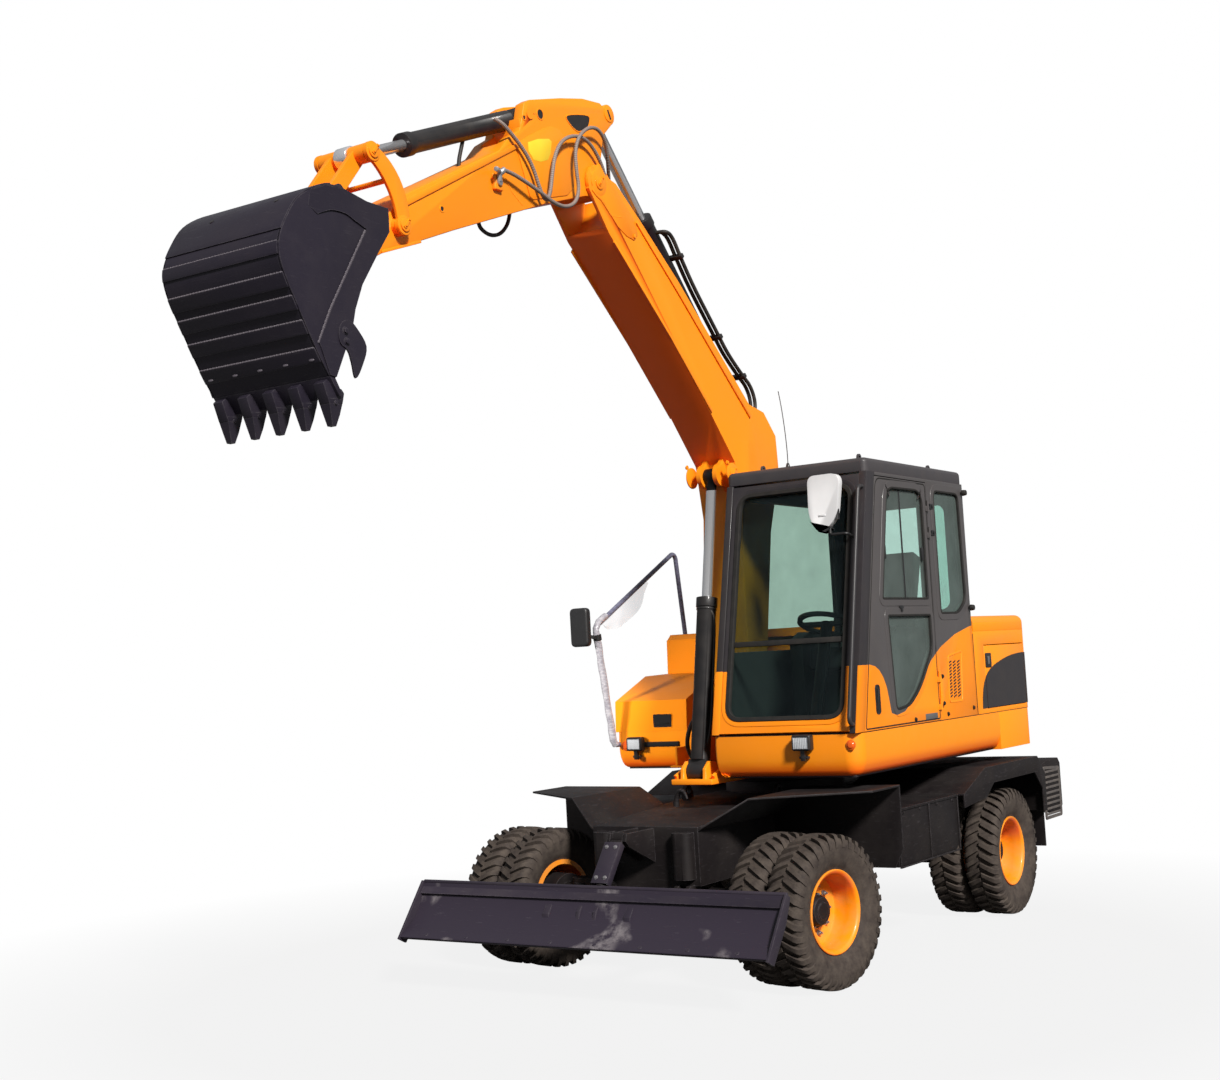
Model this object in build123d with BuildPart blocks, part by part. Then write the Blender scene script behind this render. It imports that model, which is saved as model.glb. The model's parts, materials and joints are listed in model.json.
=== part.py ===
"""Wheeled excavator, stored on its wheels with the boom raised.

Millimetres, +Z up, the machine faces -Y, +X is its left-hand (cab) side.
Z = 0 is the ground. Side outlines are drawn in the YZ plane as (y, z).
Every moving piece is modelled in its stored place.
"""
import os
from math import atan2, cos, degrees, hypot, radians, sin

from build123d import *

os.makedirs("parts", exist_ok=True)

# ---------------------------------------------------------------- clearances
RUN = 0.3            # running gap between turning or sliding faces
GAP = 6.0            # gap between panels and between moving plates

# ------------------------------------------------------------------- wheels
FRONT_AXLE_Y = -170.0
WHEELBASE = 2620.0
REAR_AXLE_Y = FRONT_AXLE_Y + WHEELBASE
TYRE_R = 430.0
TYRE_W = 235.0
BEAD_R = 222.0
BEAD_HALF = 70.0
TWIN_SPACING = 265.0
OUTER_MID = 1115.0
INNER_MID = OUTER_MID - TWIN_SPACING
RIM_WALL = 16.0
FLANGE_R = 235.0
FLANGE_T = 10.0
DISC_X = 1010.0
DISC_T = 16.0
HUB_CAP_R = 105.0
HUB_CAP_L = 84.0
KINGPIN_X = 600.0
STEER_REST = -9.0          # the front wheels stand turned this far about Z
KINGPIN_R = 60.0
BRAKE_R = 150.0

# ------------------------------------------------------------------ chassis
FRAME_HALF = 370.0
FRAME_FRONT = -350.0
FRAME_REAR = REAR_AXLE_Y + 730.0
FRAME_BOTTOM = 560.0
FRAME_TOP = 965.0
NOSE_TOP = 900.0
FENDER_T = 12.0
FENDER_HALF = 1235.0
FENDER_TOP = 1056.0
TOW_MID = 665.0
TOW_T = 40.0
TOW_OUT = 80.0
TOW_HALF = 62.0
TOW_R = 25.0
BOX_FRONT = 586.0
BOX_REAR = 1530.0
BOX_TOP = 905.0
BOX_OUT = 1200.0
SLEW_Y = 1430.0
SLEW_R = 400.0
SLEW_SPLIT = 1040.0
GUARD_IN = 985.0

# ------------------------------------------------------------------- blade
BLADE_HALF = 1248.0
BLADE_PIVOT = (-430.0, 480.0)
BLADE_BOTTOM = (-1161.0, 328.0)
BLADE_TOP = (-921.0, 624.0)
BLADE_BULGE = 45.0
BLADE_T = 16.0
BLADE_ARM_X = (256.0, 299.0)
BLADE_CYL_TOP = (-610.0, 860.0)
BLADE_CYL_FOOT = (-925.0, 462.0)

# ------------------------------------------------------------------- house
HOUSE_HALF = 1150.0
HOUSE_FRONT = 240.0
HOUSE_REAR = 3180.0
HOUSE_BOTTOM = 1125.0
FLOOR_T = 40.0
SEAM_Z = 1385.0
TANK_FRONT = 1105.0
TANK_IN = -560.0
BAY_FRONT = 2125.0
BAY_TOP = 1955.0
HOOD_TOP = 2062.0
WALL = 35.0
CW_FRONT = 2500.0

# --------------------------------------------------------------------- cab
BOOM_HALF = 150.0
BOOM_CLEAR = 15.0
CAB_IN = BOOM_HALF + BOOM_CLEAR      # the cab stands close beside the boom
CAB_OUT = HOUSE_HALF
CAB_BASE = 1390.0
CAB_REAR = 2110.0
CAB_TOP = 3052.0
ROOF_T = 86.0
CAB_WALL = 48.0
PILLAR = 112.0
SILL_FRONT = (222.0, CAB_BASE)
HEAD_FRONT = (592.0, CAB_TOP - ROOF_T)
DOOR_REAR = 1478.0
DOOR_TOP = 2945.0
HINGE_PIN = (CAB_OUT + 8.0, DOOR_REAR + 4.0)        # the door turns about this line
HINGE_MIDS = (CAB_BASE + 104, CAB_BASE + 282, DOOR_TOP - 332, DOOR_TOP - 157)
HINGE_R = 8.0
HINGE_L = 36.0
HINGE_LEAF = 34.0
GLASS_T = 6.0

# ---------------------------------------------- boom, arm and bucket linkage
PLATE_T = 12.0
FORK_T = 20.0
BOOM_FOOT = (880.0, 1730.0)
FOOT_R = 115.0
FOOT_HALF = 118.0
ARM_PIVOT = (-680.0, 4700.0)
TIP_R = 108.0
ARM_HALF = 124.0
LIFT_BASE = (324.0, 1170.0)
LIFT_EYE = (695.0, 3063.0)
ARM_CYL_BASE = (1164.0, 3408.0)
ARM_CYL_EYE = (-490.0, 5165.0)
BUCKET_CYL_BASE = (-1300.0, 4968.0)
ROCKER_PIVOT = (-2470.0, 4100.0)
LINK_TOP = (-2680.0, 4428.0)
LINK_FOOT = (-2905.0, 4155.0)
BUCKET_PIN = (-2705.0, 3990.0)
EYE_HALF = 40.0
WIDE_SLOT = 68.0
TOP_SLOT = 62.0
EAR_IN = 130.0
EAR_T = 18.0
ROCKER_IN = 154.0
ROCKER_T = 18.0
BUCKET_HALF = 375.0


def side(x):
    """Side plane at x: its sketches read (y, z) and grow towards +X."""
    return Plane.YZ.offset(x)


def save(made, name, kingpin=None):
    """Label the finished piece, steer it about its kingpin if it has one, and write it."""
    part = made.part if kingpin is None else made.part.rotate(kingpin, STEER_REST)
    part.label = name
    export_step(part, f"parts/{name}.step")


def kingpin_axis(sign):
    """Upright axis of a front kingpin."""
    return Axis((sign * KINGPIN_X, FRONT_AXLE_Y, TYRE_R), (0, 0, 1))


# =================================================================== wheels
def build_wheel(name, sign, axle_y, kingpin=None):
    """Twin tyres in one node, and the joined rims with their disc in another."""
    hub = Plane(origin=(0, axle_y, TYRE_R), x_dir=(1, 0, 0), z_dir=(0, -1, 0))
    axis = Axis((0, axle_y, TYRE_R), (1, 0, 0))
    half = TYRE_W / 2
    with BuildPart() as tyres:
        for middle in (INNER_MID, OUTER_MID):
            with BuildSketch(hub) as section:
                with BuildLine():
                    Polyline(
                        (sign * (middle - BEAD_HALF), BEAD_R),
                        (sign * (middle - BEAD_HALF), BEAD_R + 18),
                        (sign * (middle - half), BEAD_R + 78),
                        (sign * (middle - half), TYRE_R - 45),
                        (sign * (middle - half + 25), TYRE_R),
                        (sign * (middle + half - 25), TYRE_R),
                        (sign * (middle + half), TYRE_R - 45),
                        (sign * (middle + half), BEAD_R + 78),
                        (sign * (middle + BEAD_HALF), BEAD_R + 18),
                        (sign * (middle + BEAD_HALF), BEAD_R),
                        close=True,
                    )
                make_face()
            revolve(axis=axis)
    save(tyres, f"{name}_tyres", kingpin)

    seat_r = BEAD_R - RUN
    low = INNER_MID - BEAD_HALF - RUN - FLANGE_T
    high = OUTER_MID + BEAD_HALF + RUN + FLANGE_T
    with BuildPart() as rim:
        with BuildSketch(hub):
            with BuildLine():
                Polyline(
                    (sign * low, seat_r - RIM_WALL), (sign * low, seat_r),
                    (sign * high, seat_r), (sign * high, seat_r - RIM_WALL), close=True,
                )
            make_face()
        revolve(axis=axis)
        for middle in (INNER_MID, OUTER_MID):
            for turn in (-1, 1):
                near = middle + turn * (BEAD_HALF + RUN)
                far = near + turn * FLANGE_T
                with BuildSketch(hub):
                    with BuildLine():
                        Polyline(
                            (sign * near, seat_r - 5), (sign * near, FLANGE_R),
                            (sign * far, FLANGE_R), (sign * far, seat_r - 5), close=True,
                        )
                    make_face()
                revolve(axis=axis)
        disc_end = DISC_X + DISC_T
        with BuildSketch(hub):
            with BuildLine():
                Polyline(
                    (sign * DISC_X, 0), (sign * DISC_X, seat_r - RIM_WALL + 1),
                    (sign * disc_end, seat_r - RIM_WALL + 1), (sign * disc_end, HUB_CAP_R),
                    (sign * (disc_end + HUB_CAP_L), HUB_CAP_R - 20),
                    (sign * (disc_end + HUB_CAP_L), 0), close=True,
                )
            make_face()
        revolve(axis=axis)
    save(rim, f"{name}_rim", kingpin)


for wheel_side, side_name in ((1, "left"), (-1, "right")):
    build_wheel(f"front_{side_name}", wheel_side, FRONT_AXLE_Y, kingpin_axis(wheel_side))
    build_wheel(f"rear_{side_name}", wheel_side, REAR_AXLE_Y)

# =============================================================== axles, hubs
FORK_GAP = 105.0          # half height between the fork plates of the front axle
FORK_PLATE = 30.0
AXLE_R = 95.0
AXLE_BALL_R = 128.0
PAD_HALF = 200.0


def build_knuckle(name, sign):
    """Steering knuckle: kingpin barrel and the brake housing inside the rim."""
    with BuildPart() as knuckle:
        with BuildSketch(Plane.XY.offset(TYRE_R - FORK_GAP + RUN)):
            with Locations((sign * KINGPIN_X, FRONT_AXLE_Y)):
                Circle(KINGPIN_R)
        extrude(amount=2 * (FORK_GAP - RUN))
        with BuildSketch(side(sign * KINGPIN_X)):
            with Locations((FRONT_AXLE_Y, TYRE_R)):
                Circle(100)
        extrude(amount=sign * 122)
        with BuildSketch(side(sign * (KINGPIN_X + 120))):
            with Locations((FRONT_AXLE_Y, TYRE_R)):
                Circle(BRAKE_R)
        extrude(amount=sign * (DISC_X - RUN - KINGPIN_X - 120))
    save(knuckle, name, kingpin_axis(sign))


build_knuckle("steering_knuckle_left", 1)
build_knuckle("steering_knuckle_right", -1)

with BuildPart() as front_axle:
    with BuildSketch(side(-500)):
        with Locations((FRONT_AXLE_Y, TYRE_R)):
            Circle(AXLE_R)
    extrude(amount=1000)
    with BuildSketch(Plane.XY.offset(TYRE_R)):
        with Locations((0, FRONT_AXLE_Y)):
            Rectangle(2 * PAD_HALF, 180)
    extrude(amount=FRAME_BOTTOM - TYRE_R)
    with BuildSketch(Plane.XZ.offset(-FRONT_AXLE_Y + 70)):
        with Locations((0, TYRE_R)):
            Circle(AXLE_BALL_R)
    extrude(amount=-140)
    for sign in (-1, 1):
        with BuildSketch(side(sign * 480)):
            with Locations((FRONT_AXLE_Y, TYRE_R)):
                Rectangle(130, 2 * (FORK_GAP + FORK_PLATE))
        extrude(amount=sign * 50)
        for level in (TYRE_R + FORK_GAP, TYRE_R - FORK_GAP - FORK_PLATE):
            with BuildSketch(Plane.XY.offset(level)):
                with Locations((sign * KINGPIN_X, FRONT_AXLE_Y)):
                    Circle(KINGPIN_R)
                with Locations((sign * (KINGPIN_X - 50), FRONT_AXLE_Y)):
                    Rectangle(100, 2 * KINGPIN_R)
            extrude(amount=FORK_PLATE)
save(front_axle, "front_axle")

with BuildPart() as rear_axle:
    with BuildSketch(side(-740)):
        with Locations((REAR_AXLE_Y, TYRE_R)):
            Circle(AXLE_R)
    extrude(amount=1480)
    with BuildSketch(Plane.XZ.offset(-REAR_AXLE_Y + 70)):
        with Locations((0, TYRE_R)):
            Circle(AXLE_BALL_R)
    extrude(amount=-140)
    for sign in (-1, 1):
        with BuildSketch(side(sign * 720)):
            with Locations((REAR_AXLE_Y, TYRE_R)):
                Circle(BRAKE_R)
        extrude(amount=sign * (DISC_X - RUN - 720))
        with BuildSketch(Plane.XY.offset(TYRE_R)):
            with Locations((sign * 290, REAR_AXLE_Y)):
                Rectangle(140, 180)
        extrude(amount=FRAME_BOTTOM - TYRE_R)
save(rear_axle, "rear_axle")

# ================================================================== chassis
with BuildPart() as chassis_frame:
    with BuildSketch(side(-FRAME_HALF)):
        with BuildLine():
            Polyline(
                (FRAME_FRONT, FRAME_BOTTOM), (FRAME_FRONT, NOSE_TOP), (300, FRAME_TOP - 30),
                (700, FRAME_TOP), (FRAME_REAR, FRAME_TOP), (FRAME_REAR, FRAME_BOTTOM), close=True,
            )
        make_face()
    extrude(amount=2 * FRAME_HALF)
    # round columns on the nose, above the blade hinges
    with BuildSketch(Plane.XY.offset(600)):
        with Locations((-277, FRAME_FRONT), (277, FRAME_FRONT)):
            RectangleRounded(130, 150, 50)
    extrude(amount=270)
    # hinge ears of the blade arms, with their pins
    for sign in (-1, 1):
        inner, outer = BLADE_ARM_X
        for low in (inner - GAP - 25, outer + GAP):
            with BuildSketch(side(sign * low)):
                with BuildLine():
                    Polyline(
                        (FRAME_FRONT + 5, 400), (FRAME_FRONT + 5, FRAME_BOTTOM + 5),
                        (-400, FRAME_BOTTOM + 5), (-486, 510), (-486, 450), (-400, 400), close=True,
                    )
                make_face()
            extrude(amount=sign * 25)
        with BuildSketch(side(sign * (inner - GAP - 25))):
            with Locations(BLADE_PIVOT):
                Circle(22)
        extrude(amount=sign * (outer - inner + 2 * GAP + 50))
    with BuildSketch(Plane.XY.offset(400)):
        with Locations((0, FRAME_FRONT + 37)):
            Rectangle(2 * 330, 74)
    extrude(amount=FRAME_BOTTOM - 400)
    # bracket that carries the top pin of the blade cylinder
    for low in (EYE_HALF + GAP, -EYE_HALF - GAP - 20):
        with BuildSketch(side(low)):
            with BuildLine():
                Polyline(
                    (FRAME_FRONT + 5, 690), (FRAME_FRONT + 5, NOSE_TOP - 8), (-640, NOSE_TOP - 8),
                    (-652, 850), (-620, 815), close=True,
                )
            make_face()
        extrude(amount=20)
    with BuildSketch(side(-EYE_HALF - GAP - 20)):
        with Locations(BLADE_CYL_TOP):
            Circle(20)
    extrude(amount=2 * (EYE_HALF + GAP + 20))
    # rear cross member and the tow eye behind it
    with BuildSketch(Plane.XY.offset(640)):
        with Locations((0, FRAME_REAR - 29)):
            Rectangle(2 * GUARD_IN, 94)
    extrude(amount=260)
    with BuildSketch(Plane.XY.offset(TOW_MID - TOW_T / 2)):
        with Locations((0, FRAME_REAR + TOW_OUT / 2)):
            Rectangle(2 * TOW_HALF, TOW_OUT)
        with Locations((0, FRAME_REAR + TOW_OUT)):
            Circle(TOW_HALF)
            Circle(TOW_R, mode=Mode.SUBTRACT)
    extrude(amount=TOW_T)
    # tie-down eyes on the deck
    for sign in (-1, 1):
        with BuildSketch(side(sign * 350)):
            with BuildLine():
                Polyline((650, 950), (760, 950), (760, 1010), (650, 1010), close=True)
            make_face()
            with Locations((705, 1010)):
                Circle(42)
            with Locations((705, 1012)):
                Circle(22, mode=Mode.SUBTRACT)
        extrude(amount=-sign * 24)
save(chassis_frame, "chassis_frame")

with BuildPart() as slew_ring:
    with BuildSketch(Plane.XY.offset(FRAME_TOP)):
        with Locations((0, SLEW_Y)):
            Circle(SLEW_R)
            Circle(SLEW_R - 110, mode=Mode.SUBTRACT)
    extrude(amount=SLEW_SPLIT - FRAME_TOP)
save(slew_ring, "slew_ring")

with BuildPart() as side_boxes:
    for sign in (-1, 1):
        with BuildSketch(side(sign * FRAME_HALF)) as box_side:
            with BuildLine():
                Polyline(
                    (BOX_FRONT + 2, FRAME_BOTTOM), (BOX_FRONT + 2, BOX_TOP), (BOX_REAR, BOX_TOP),
                    (BOX_REAR, FRAME_BOTTOM + 40), (BOX_REAR - 60, FRAME_BOTTOM), close=True,
                )
            make_face()
        extrude(amount=sign * (BOX_OUT - FRAME_HALF))
save(side_boxes, "side_boxes")

FENDER_SKEW = 560.0
with BuildPart() as front_fenders:
    for sign in (-1, 1):
        # roof of the fender: a bent sheet, seen from the front
        with BuildSketch(Plane.XZ.offset(-FRAME_FRONT)):
            with BuildLine():
                Polyline(
                    (sign * FRAME_HALF, NOSE_TOP - 26), (sign * 630, FENDER_TOP - 4 - FENDER_T),
                    (sign * FENDER_HALF, FENDER_TOP - FENDER_T), (sign * FENDER_HALF, FENDER_TOP),
                    (sign * 630, FENDER_TOP - 4), (sign * FRAME_HALF, NOSE_TOP - 12), close=True,
                )
            make_face()
        extrude(amount=-(BOX_FRONT - FRAME_FRONT))
        # its rear wall goes down to the side box
        with BuildSketch(Plane.XZ.offset(-BOX_FRONT + FENDER_T)):
            with BuildLine():
                Polyline(
                    (sign * FRAME_HALF, FRAME_BOTTOM), (sign * FRAME_HALF, NOSE_TOP - 12),
                    (sign * 630, FENDER_TOP - 4), (sign * FENDER_HALF, FENDER_TOP),
                    (sign * FENDER_HALF, FRAME_BOTTOM + 110), (sign * (FENDER_HALF - 60), FRAME_BOTTOM),
                    close=True,
                )
            make_face()
        extrude(amount=-FENDER_T)
    # the front edge runs back towards the outside
    with BuildSketch(Plane.XY.offset(500)):
        for sign in (-1, 1):
            with BuildLine():
                Polyline(
                    (sign * (FRAME_HALF - 1), FRAME_FRONT - 10), (sign * (FRAME_HALF + 20), FRAME_FRONT),
                    (sign * (FENDER_HALF + 5), FRAME_FRONT + FENDER_SKEW),
                    (sign * (FENDER_HALF + 5), FRAME_FRONT - 10), close=True,
                )
            make_face()
    extrude(amount=600, mode=Mode.SUBTRACT)
save(front_fenders, "front_fenders")

def aft(*points):
    """Outline points (y, z) with y measured from the rear axle."""
    return [(REAR_AXLE_Y + y, z) for y, z in points]


with BuildPart() as rear_fenders:
    for sign in (-1, 1):
        with BuildSketch(side(sign * FRAME_HALF)):
            with BuildLine():
                Polyline(
                    (BOX_REAR + 40, BOX_TOP - 12), *aft(
                        (-490, 1030), (510, 1030), (640, 905), (640, 640), (652, 640), (652, 910),
                        (516, 1042), (-494, 1042),
                    ),
                    (BOX_REAR + 40, BOX_TOP), close=True,
                )
            make_face()
        extrude(amount=sign * (FENDER_HALF - FRAME_HALF))
        # outer skirt with the wheel arch
        with BuildSketch(side(sign * (FENDER_HALF - FENDER_T))):
            with BuildLine():
                Polyline(
                    (BOX_REAR + 40, BOX_TOP - 90), (BOX_REAR + 40, BOX_TOP - 1), *aft(
                        (-492, 1036), (514, 1036), (646, 906), (646, 640), (590, 640), (590, 800),
                        (450, 930), (-350, 930), (-490, BOX_TOP - 60),
                    ), close=True,
                )
            make_face()
        extrude(amount=sign * FENDER_T)
        with BuildSketch(side(sign * (FRAME_HALF))):
            with BuildLine():
                Polyline(
                    (BOX_REAR + 40, BOX_TOP - 90), (BOX_REAR + 40, BOX_TOP - 1),
                    *aft((-492, 1036), (-450, 1036), (-450, 930), (-490, BOX_TOP - 60)), close=True,
                )
            make_face()
        extrude(amount=sign * FENDER_T)
save(rear_fenders, "rear_fenders")

with BuildPart() as rear_guards:
    for sign in (-1, 1):
        with BuildSketch(side(sign * GUARD_IN)) as guard_side:
            with BuildLine():
                Polyline(
                    *aft(
                        (662, 640), (662, 960), (800, 990), (1040, 990), (1080, 950), (1080, 640),
                        (1040, 600), (850, 600),
                    ), close=True,
                )
            make_face()
        extrude(amount=sign * 215)
        with BuildSketch(Plane.XY.offset(380)):
            with Locations((sign * 1090, REAR_AXLE_Y + 680)):
                Rectangle(210, 14)
        extrude(amount=270)
save(rear_guards, "rear_guards")

# ==================================================================== blade
chord = (BLADE_TOP[0] - BLADE_BOTTOM[0], BLADE_TOP[1] - BLADE_BOTTOM[1])
chord_length = hypot(*chord)
back = (chord[1] / chord_length, -chord[0] / chord_length)
middle_front = (
    (BLADE_TOP[0] + BLADE_BOTTOM[0]) / 2 + back[0] * BLADE_BULGE,
    (BLADE_TOP[1] + BLADE_BOTTOM[1]) / 2 + back[1] * BLADE_BULGE,
)


def behind(point, distance):
    """Point moved square to the blade's chord, towards the machine."""
    return (point[0] + back[0] * distance, point[1] + back[1] * distance)


with BuildPart() as blade:
    with BuildSketch(side(-BLADE_HALF + 14)):
        with BuildLine():
            ThreePointArc(BLADE_BOTTOM, middle_front, BLADE_TOP)
            Line(BLADE_TOP, behind(BLADE_TOP, BLADE_T))
            ThreePointArc(
                behind(BLADE_TOP, BLADE_T), behind(middle_front, BLADE_T), behind(BLADE_BOTTOM, BLADE_T)
            )
            Line(behind(BLADE_BOTTOM, BLADE_T), BLADE_BOTTOM)
        make_face()
    extrude(amount=2 * (BLADE_HALF - 14))
    # end plates
    for sign in (-1, 1):
        with BuildSketch(side(sign * (BLADE_HALF - 14))):
            with BuildLine():
                Polyline(
                    (-1178, 322), (-935, 632), behind(BLADE_TOP, 30), (-965, 470),
                    behind(BLADE_BOTTOM, 60), close=True,
                )
            make_face()
        extrude(amount=sign * 14)
    # stiffening box behind the top edge and a rib behind the cutting edge
    with BuildSketch(side(-BLADE_HALF + 14)):
        with BuildLine():
            Polyline(
                behind(BLADE_TOP, 10), behind(BLADE_TOP, 52), (-915, 530), (-965, 560), close=True,
            )
        make_face()
    extrude(amount=2 * (BLADE_HALF - 14))
    # push arms
    for sign in (-1, 1):
        with BuildSketch(side(sign * BLADE_ARM_X[0])):
            with BuildLine():
                Polyline(
                    (BLADE_PIVOT[0], 430), (BLADE_PIVOT[0], 530), (-800, 535), (-945, 545),
                    (-1000, 480), (-1010, 420), (-1040, 372), (-800, 400), close=True,
                )
            make_face()
            with Locations(BLADE_PIVOT):
                Circle(50)
        extrude(amount=sign * (BLADE_ARM_X[1] - BLADE_ARM_X[0]))
        with BuildSketch(side(sign * (BLADE_ARM_X[0] - 1))):
            with Locations(BLADE_PIVOT):
                Circle(22 + RUN)
        extrude(amount=sign * (BLADE_ARM_X[1] - BLADE_ARM_X[0] + 2), mode=Mode.SUBTRACT)
    # ears of the blade cylinder
    for low in (EYE_HALF + GAP, -EYE_HALF - GAP - 20):
        with BuildSketch(side(low)):
            with BuildLine():
                Polyline((-940, 545), (-990, 500), (-1020, 400), (-940, 410), (-885, 440), (-885, 490),
                         close=True)
            make_face()
        extrude(amount=20)
save(blade, "blade")


# ================================================================ cylinders
def build_cylinder(name, base, eye, barrel_r, rod_r, barrel_len, base_pin_r, eye_radii, halves):
    """Barrel with its base eye bored for the pin, and a rod with a solid eye.

    The bore is as long as the barrel, so that the rod may slide right in.
    """
    eye_r, rod_eye_r = eye_radii
    half, rod_half = halves
    turn = degrees(atan2(eye[1] - base[1], eye[0] - base[0]))
    length = hypot(eye[0] - base[0], eye[1] - base[1])
    line = Plane(
        origin=(0, base[0], base[1]), x_dir=(1, 0, 0),
        z_dir=(0, cos(radians(turn)), sin(radians(turn))),
    )
    start = eye_r + 8
    with BuildPart() as barrel:
        with BuildSketch(side(-half)):
            with Locations(base):
                Circle(eye_r)
        extrude(amount=2 * half)
        with BuildSketch(line):
            Rectangle(2 * half, 1.3 * eye_r)
        extrude(amount=start + 2)
        with BuildSketch(line.offset(start)):
            Circle(barrel_r)
        extrude(amount=barrel_len - start)
        with BuildSketch(line.offset(barrel_len - 60)):
            Circle(barrel_r + 7)
        extrude(amount=60)
        with BuildSketch(line.offset(start + 20)):
            Circle(rod_r + RUN)
        extrude(amount=barrel_len - start - 19, mode=Mode.SUBTRACT)
        with BuildSketch(side(-half - 1)):
            with Locations(base):
                Circle(base_pin_r + RUN)
        extrude(amount=2 * half + 2, mode=Mode.SUBTRACT)
    save(barrel, f"{name}_barrel")
    with BuildPart() as rod:
        with BuildSketch(side(-rod_half)):
            with Locations(eye):
                Circle(rod_eye_r)
        extrude(amount=2 * rod_half)
        with BuildSketch(line.offset(ROD_IN[name])):
            Circle(rod_r)
        extrude(amount=length - ROD_IN[name])
    save(rod, f"{name}_rod")


# how far from the base pin the rod's inner end lies at rest
ROD_IN = {
    "blade_cylinder": 190.0,
    "lift_cylinder": 860.0,
    "arm_cylinder": 1080.0,
    "bucket_cylinder": 480.0,
}
build_cylinder(
    "blade_cylinder", BLADE_CYL_TOP, BLADE_CYL_FOOT, 38, 26, 330, 20, (36, 36), (38, 38))
build_cylinder("lift_cylinder", LIFT_BASE, LIFT_EYE, 62, 34, 1110, 35, (62, 49), (62, EYE_HALF))
build_cylinder(
    "arm_cylinder", ARM_CYL_BASE, ARM_CYL_EYE, 62, 34, 1700, 35, (62, 62), (62, TOP_SLOT - GAP))
build_cylinder(
    "bucket_cylinder", BUCKET_CYL_BASE, LINK_TOP, 56, 30, 1030, 30, (55, 55), (56, EYE_HALF))

# ===================================================================== boom
BOOM_SIDE = [
    (765, 1730), (760, 2324), (806, 2792), (745, 3142), (467, 3442), (13, 3876),
    (-369, 4219), (-597, 4415), (-783, 4650), (-745, 4790), (-493, 4735), (-256, 4566),
    (161, 4250), (986, 3545), (1180, 3510), (1330, 3360), (1345, 3120), (1180, 2700),
    (995, 1730),
]


TROUGH = [(1130, 3270), (1065, 3345), (820, 3601), (440, 3940), (200, 4165), (140, 4266)]
with BuildPart() as boom:
    with BuildSketch(side(-BOOM_HALF)) as boom_face:
        with BuildLine():
            Polyline(*BOOM_SIDE, close=True)
        make_face()
        with Locations(ARM_PIVOT):
            Circle(TIP_R)
        with Locations(BOOM_FOOT):
            Circle(FOOT_R)
    extrude(amount=2 * BOOM_HALF)
    # lugs of the lift cylinder's eye under the boom
    for low in (EYE_HALF + GAP, -EYE_HALF - GAP - 30):
        with BuildSketch(side(low)):
            with BuildLine():
                Polyline((800, 2940), (725, 2990), (640, 3020), (630, 3100), (690, 3140), (760, 3200),
                         (840, 3140), close=True)
            make_face()
            with Locations(LIFT_EYE):
                Circle(75)
        extrude(amount=30)
    # the hollow inside, from the foot bulkhead to the tip bulkhead
    with BuildSketch(side(-BOOM_HALF + PLATE_T)):
        with BuildLine():
            Polyline(
                (785, 1900), (774, 2322), (820, 2794), (757, 3149), (476, 3451), (21, 3885),
                (-361, 4228), (-530, 4378), (-300, 4580), (153, 4241), (982, 3532),
                (1174, 3497), (1318, 3354), (1333, 3122), (1168, 2702), (1010, 1900), close=True,
            )
        make_face()
    extrude(amount=2 * (BOOM_HALF - PLATE_T), mode=Mode.SUBTRACT)
    # slot for the arm between the fork plates
    with BuildSketch(side(-BOOM_HALF + FORK_T)):
        with Locations(ARM_PIVOT):
            Circle(262)
    extrude(amount=2 * (BOOM_HALF - FORK_T), mode=Mode.SUBTRACT)
    # bulkhead that closes the box behind the slot
    with BuildSketch(side(-BOOM_HALF + 5)):
        with BuildLine():
            Polyline((-520, 4370), (-290, 4575), (-270, 4560), (-500, 4352), close=True)
        make_face()
    extrude(amount=2 * (BOOM_HALF - 5))
    # foot narrowed to fit between the bracket plates
    for sign in (-1, 1):
        with BuildSketch(side(sign * FOOT_HALF)):
            with Locations(BOOM_FOOT):
                Circle(165)
        extrude(amount=sign * 60, mode=Mode.SUBTRACT)
    with BuildSketch(side(-BOOM_HALF - 1)):
        with Locations(BOOM_FOOT):
            Circle(45 + RUN)
    extrude(amount=2 * BOOM_HALF + 2, mode=Mode.SUBTRACT)
    # trough along the top for the arm cylinder's base, with its sloping floor
    with BuildSketch(side(-WIDE_SLOT)):
        with BuildLine():
            Polyline((1400, 3300), *TROUGH, (900, 4200), (1500, 3700), close=True)
        make_face()
    extrude(amount=2 * WIDE_SLOT, mode=Mode.SUBTRACT)
    with BuildSketch(side(-BOOM_HALF + 5)):
        with BuildLine():
            Polyline(*TROUGH, *((y - 8, z - 8) for y, z in reversed(TROUGH)), close=True)
        make_face()
    extrude(amount=2 * (BOOM_HALF - 5))
    with BuildSketch(side(-BOOM_HALF)):
        with Locations(ARM_CYL_BASE):
            Circle(35)
    extrude(amount=2 * BOOM_HALF)
    # arm pivot pin with its caps
    with BuildSketch(side(-BOOM_HALF - 12)):
        with Locations(ARM_PIVOT):
            Circle(40)
    extrude(amount=2 * BOOM_HALF + 24)
save(boom, "boom")

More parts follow.
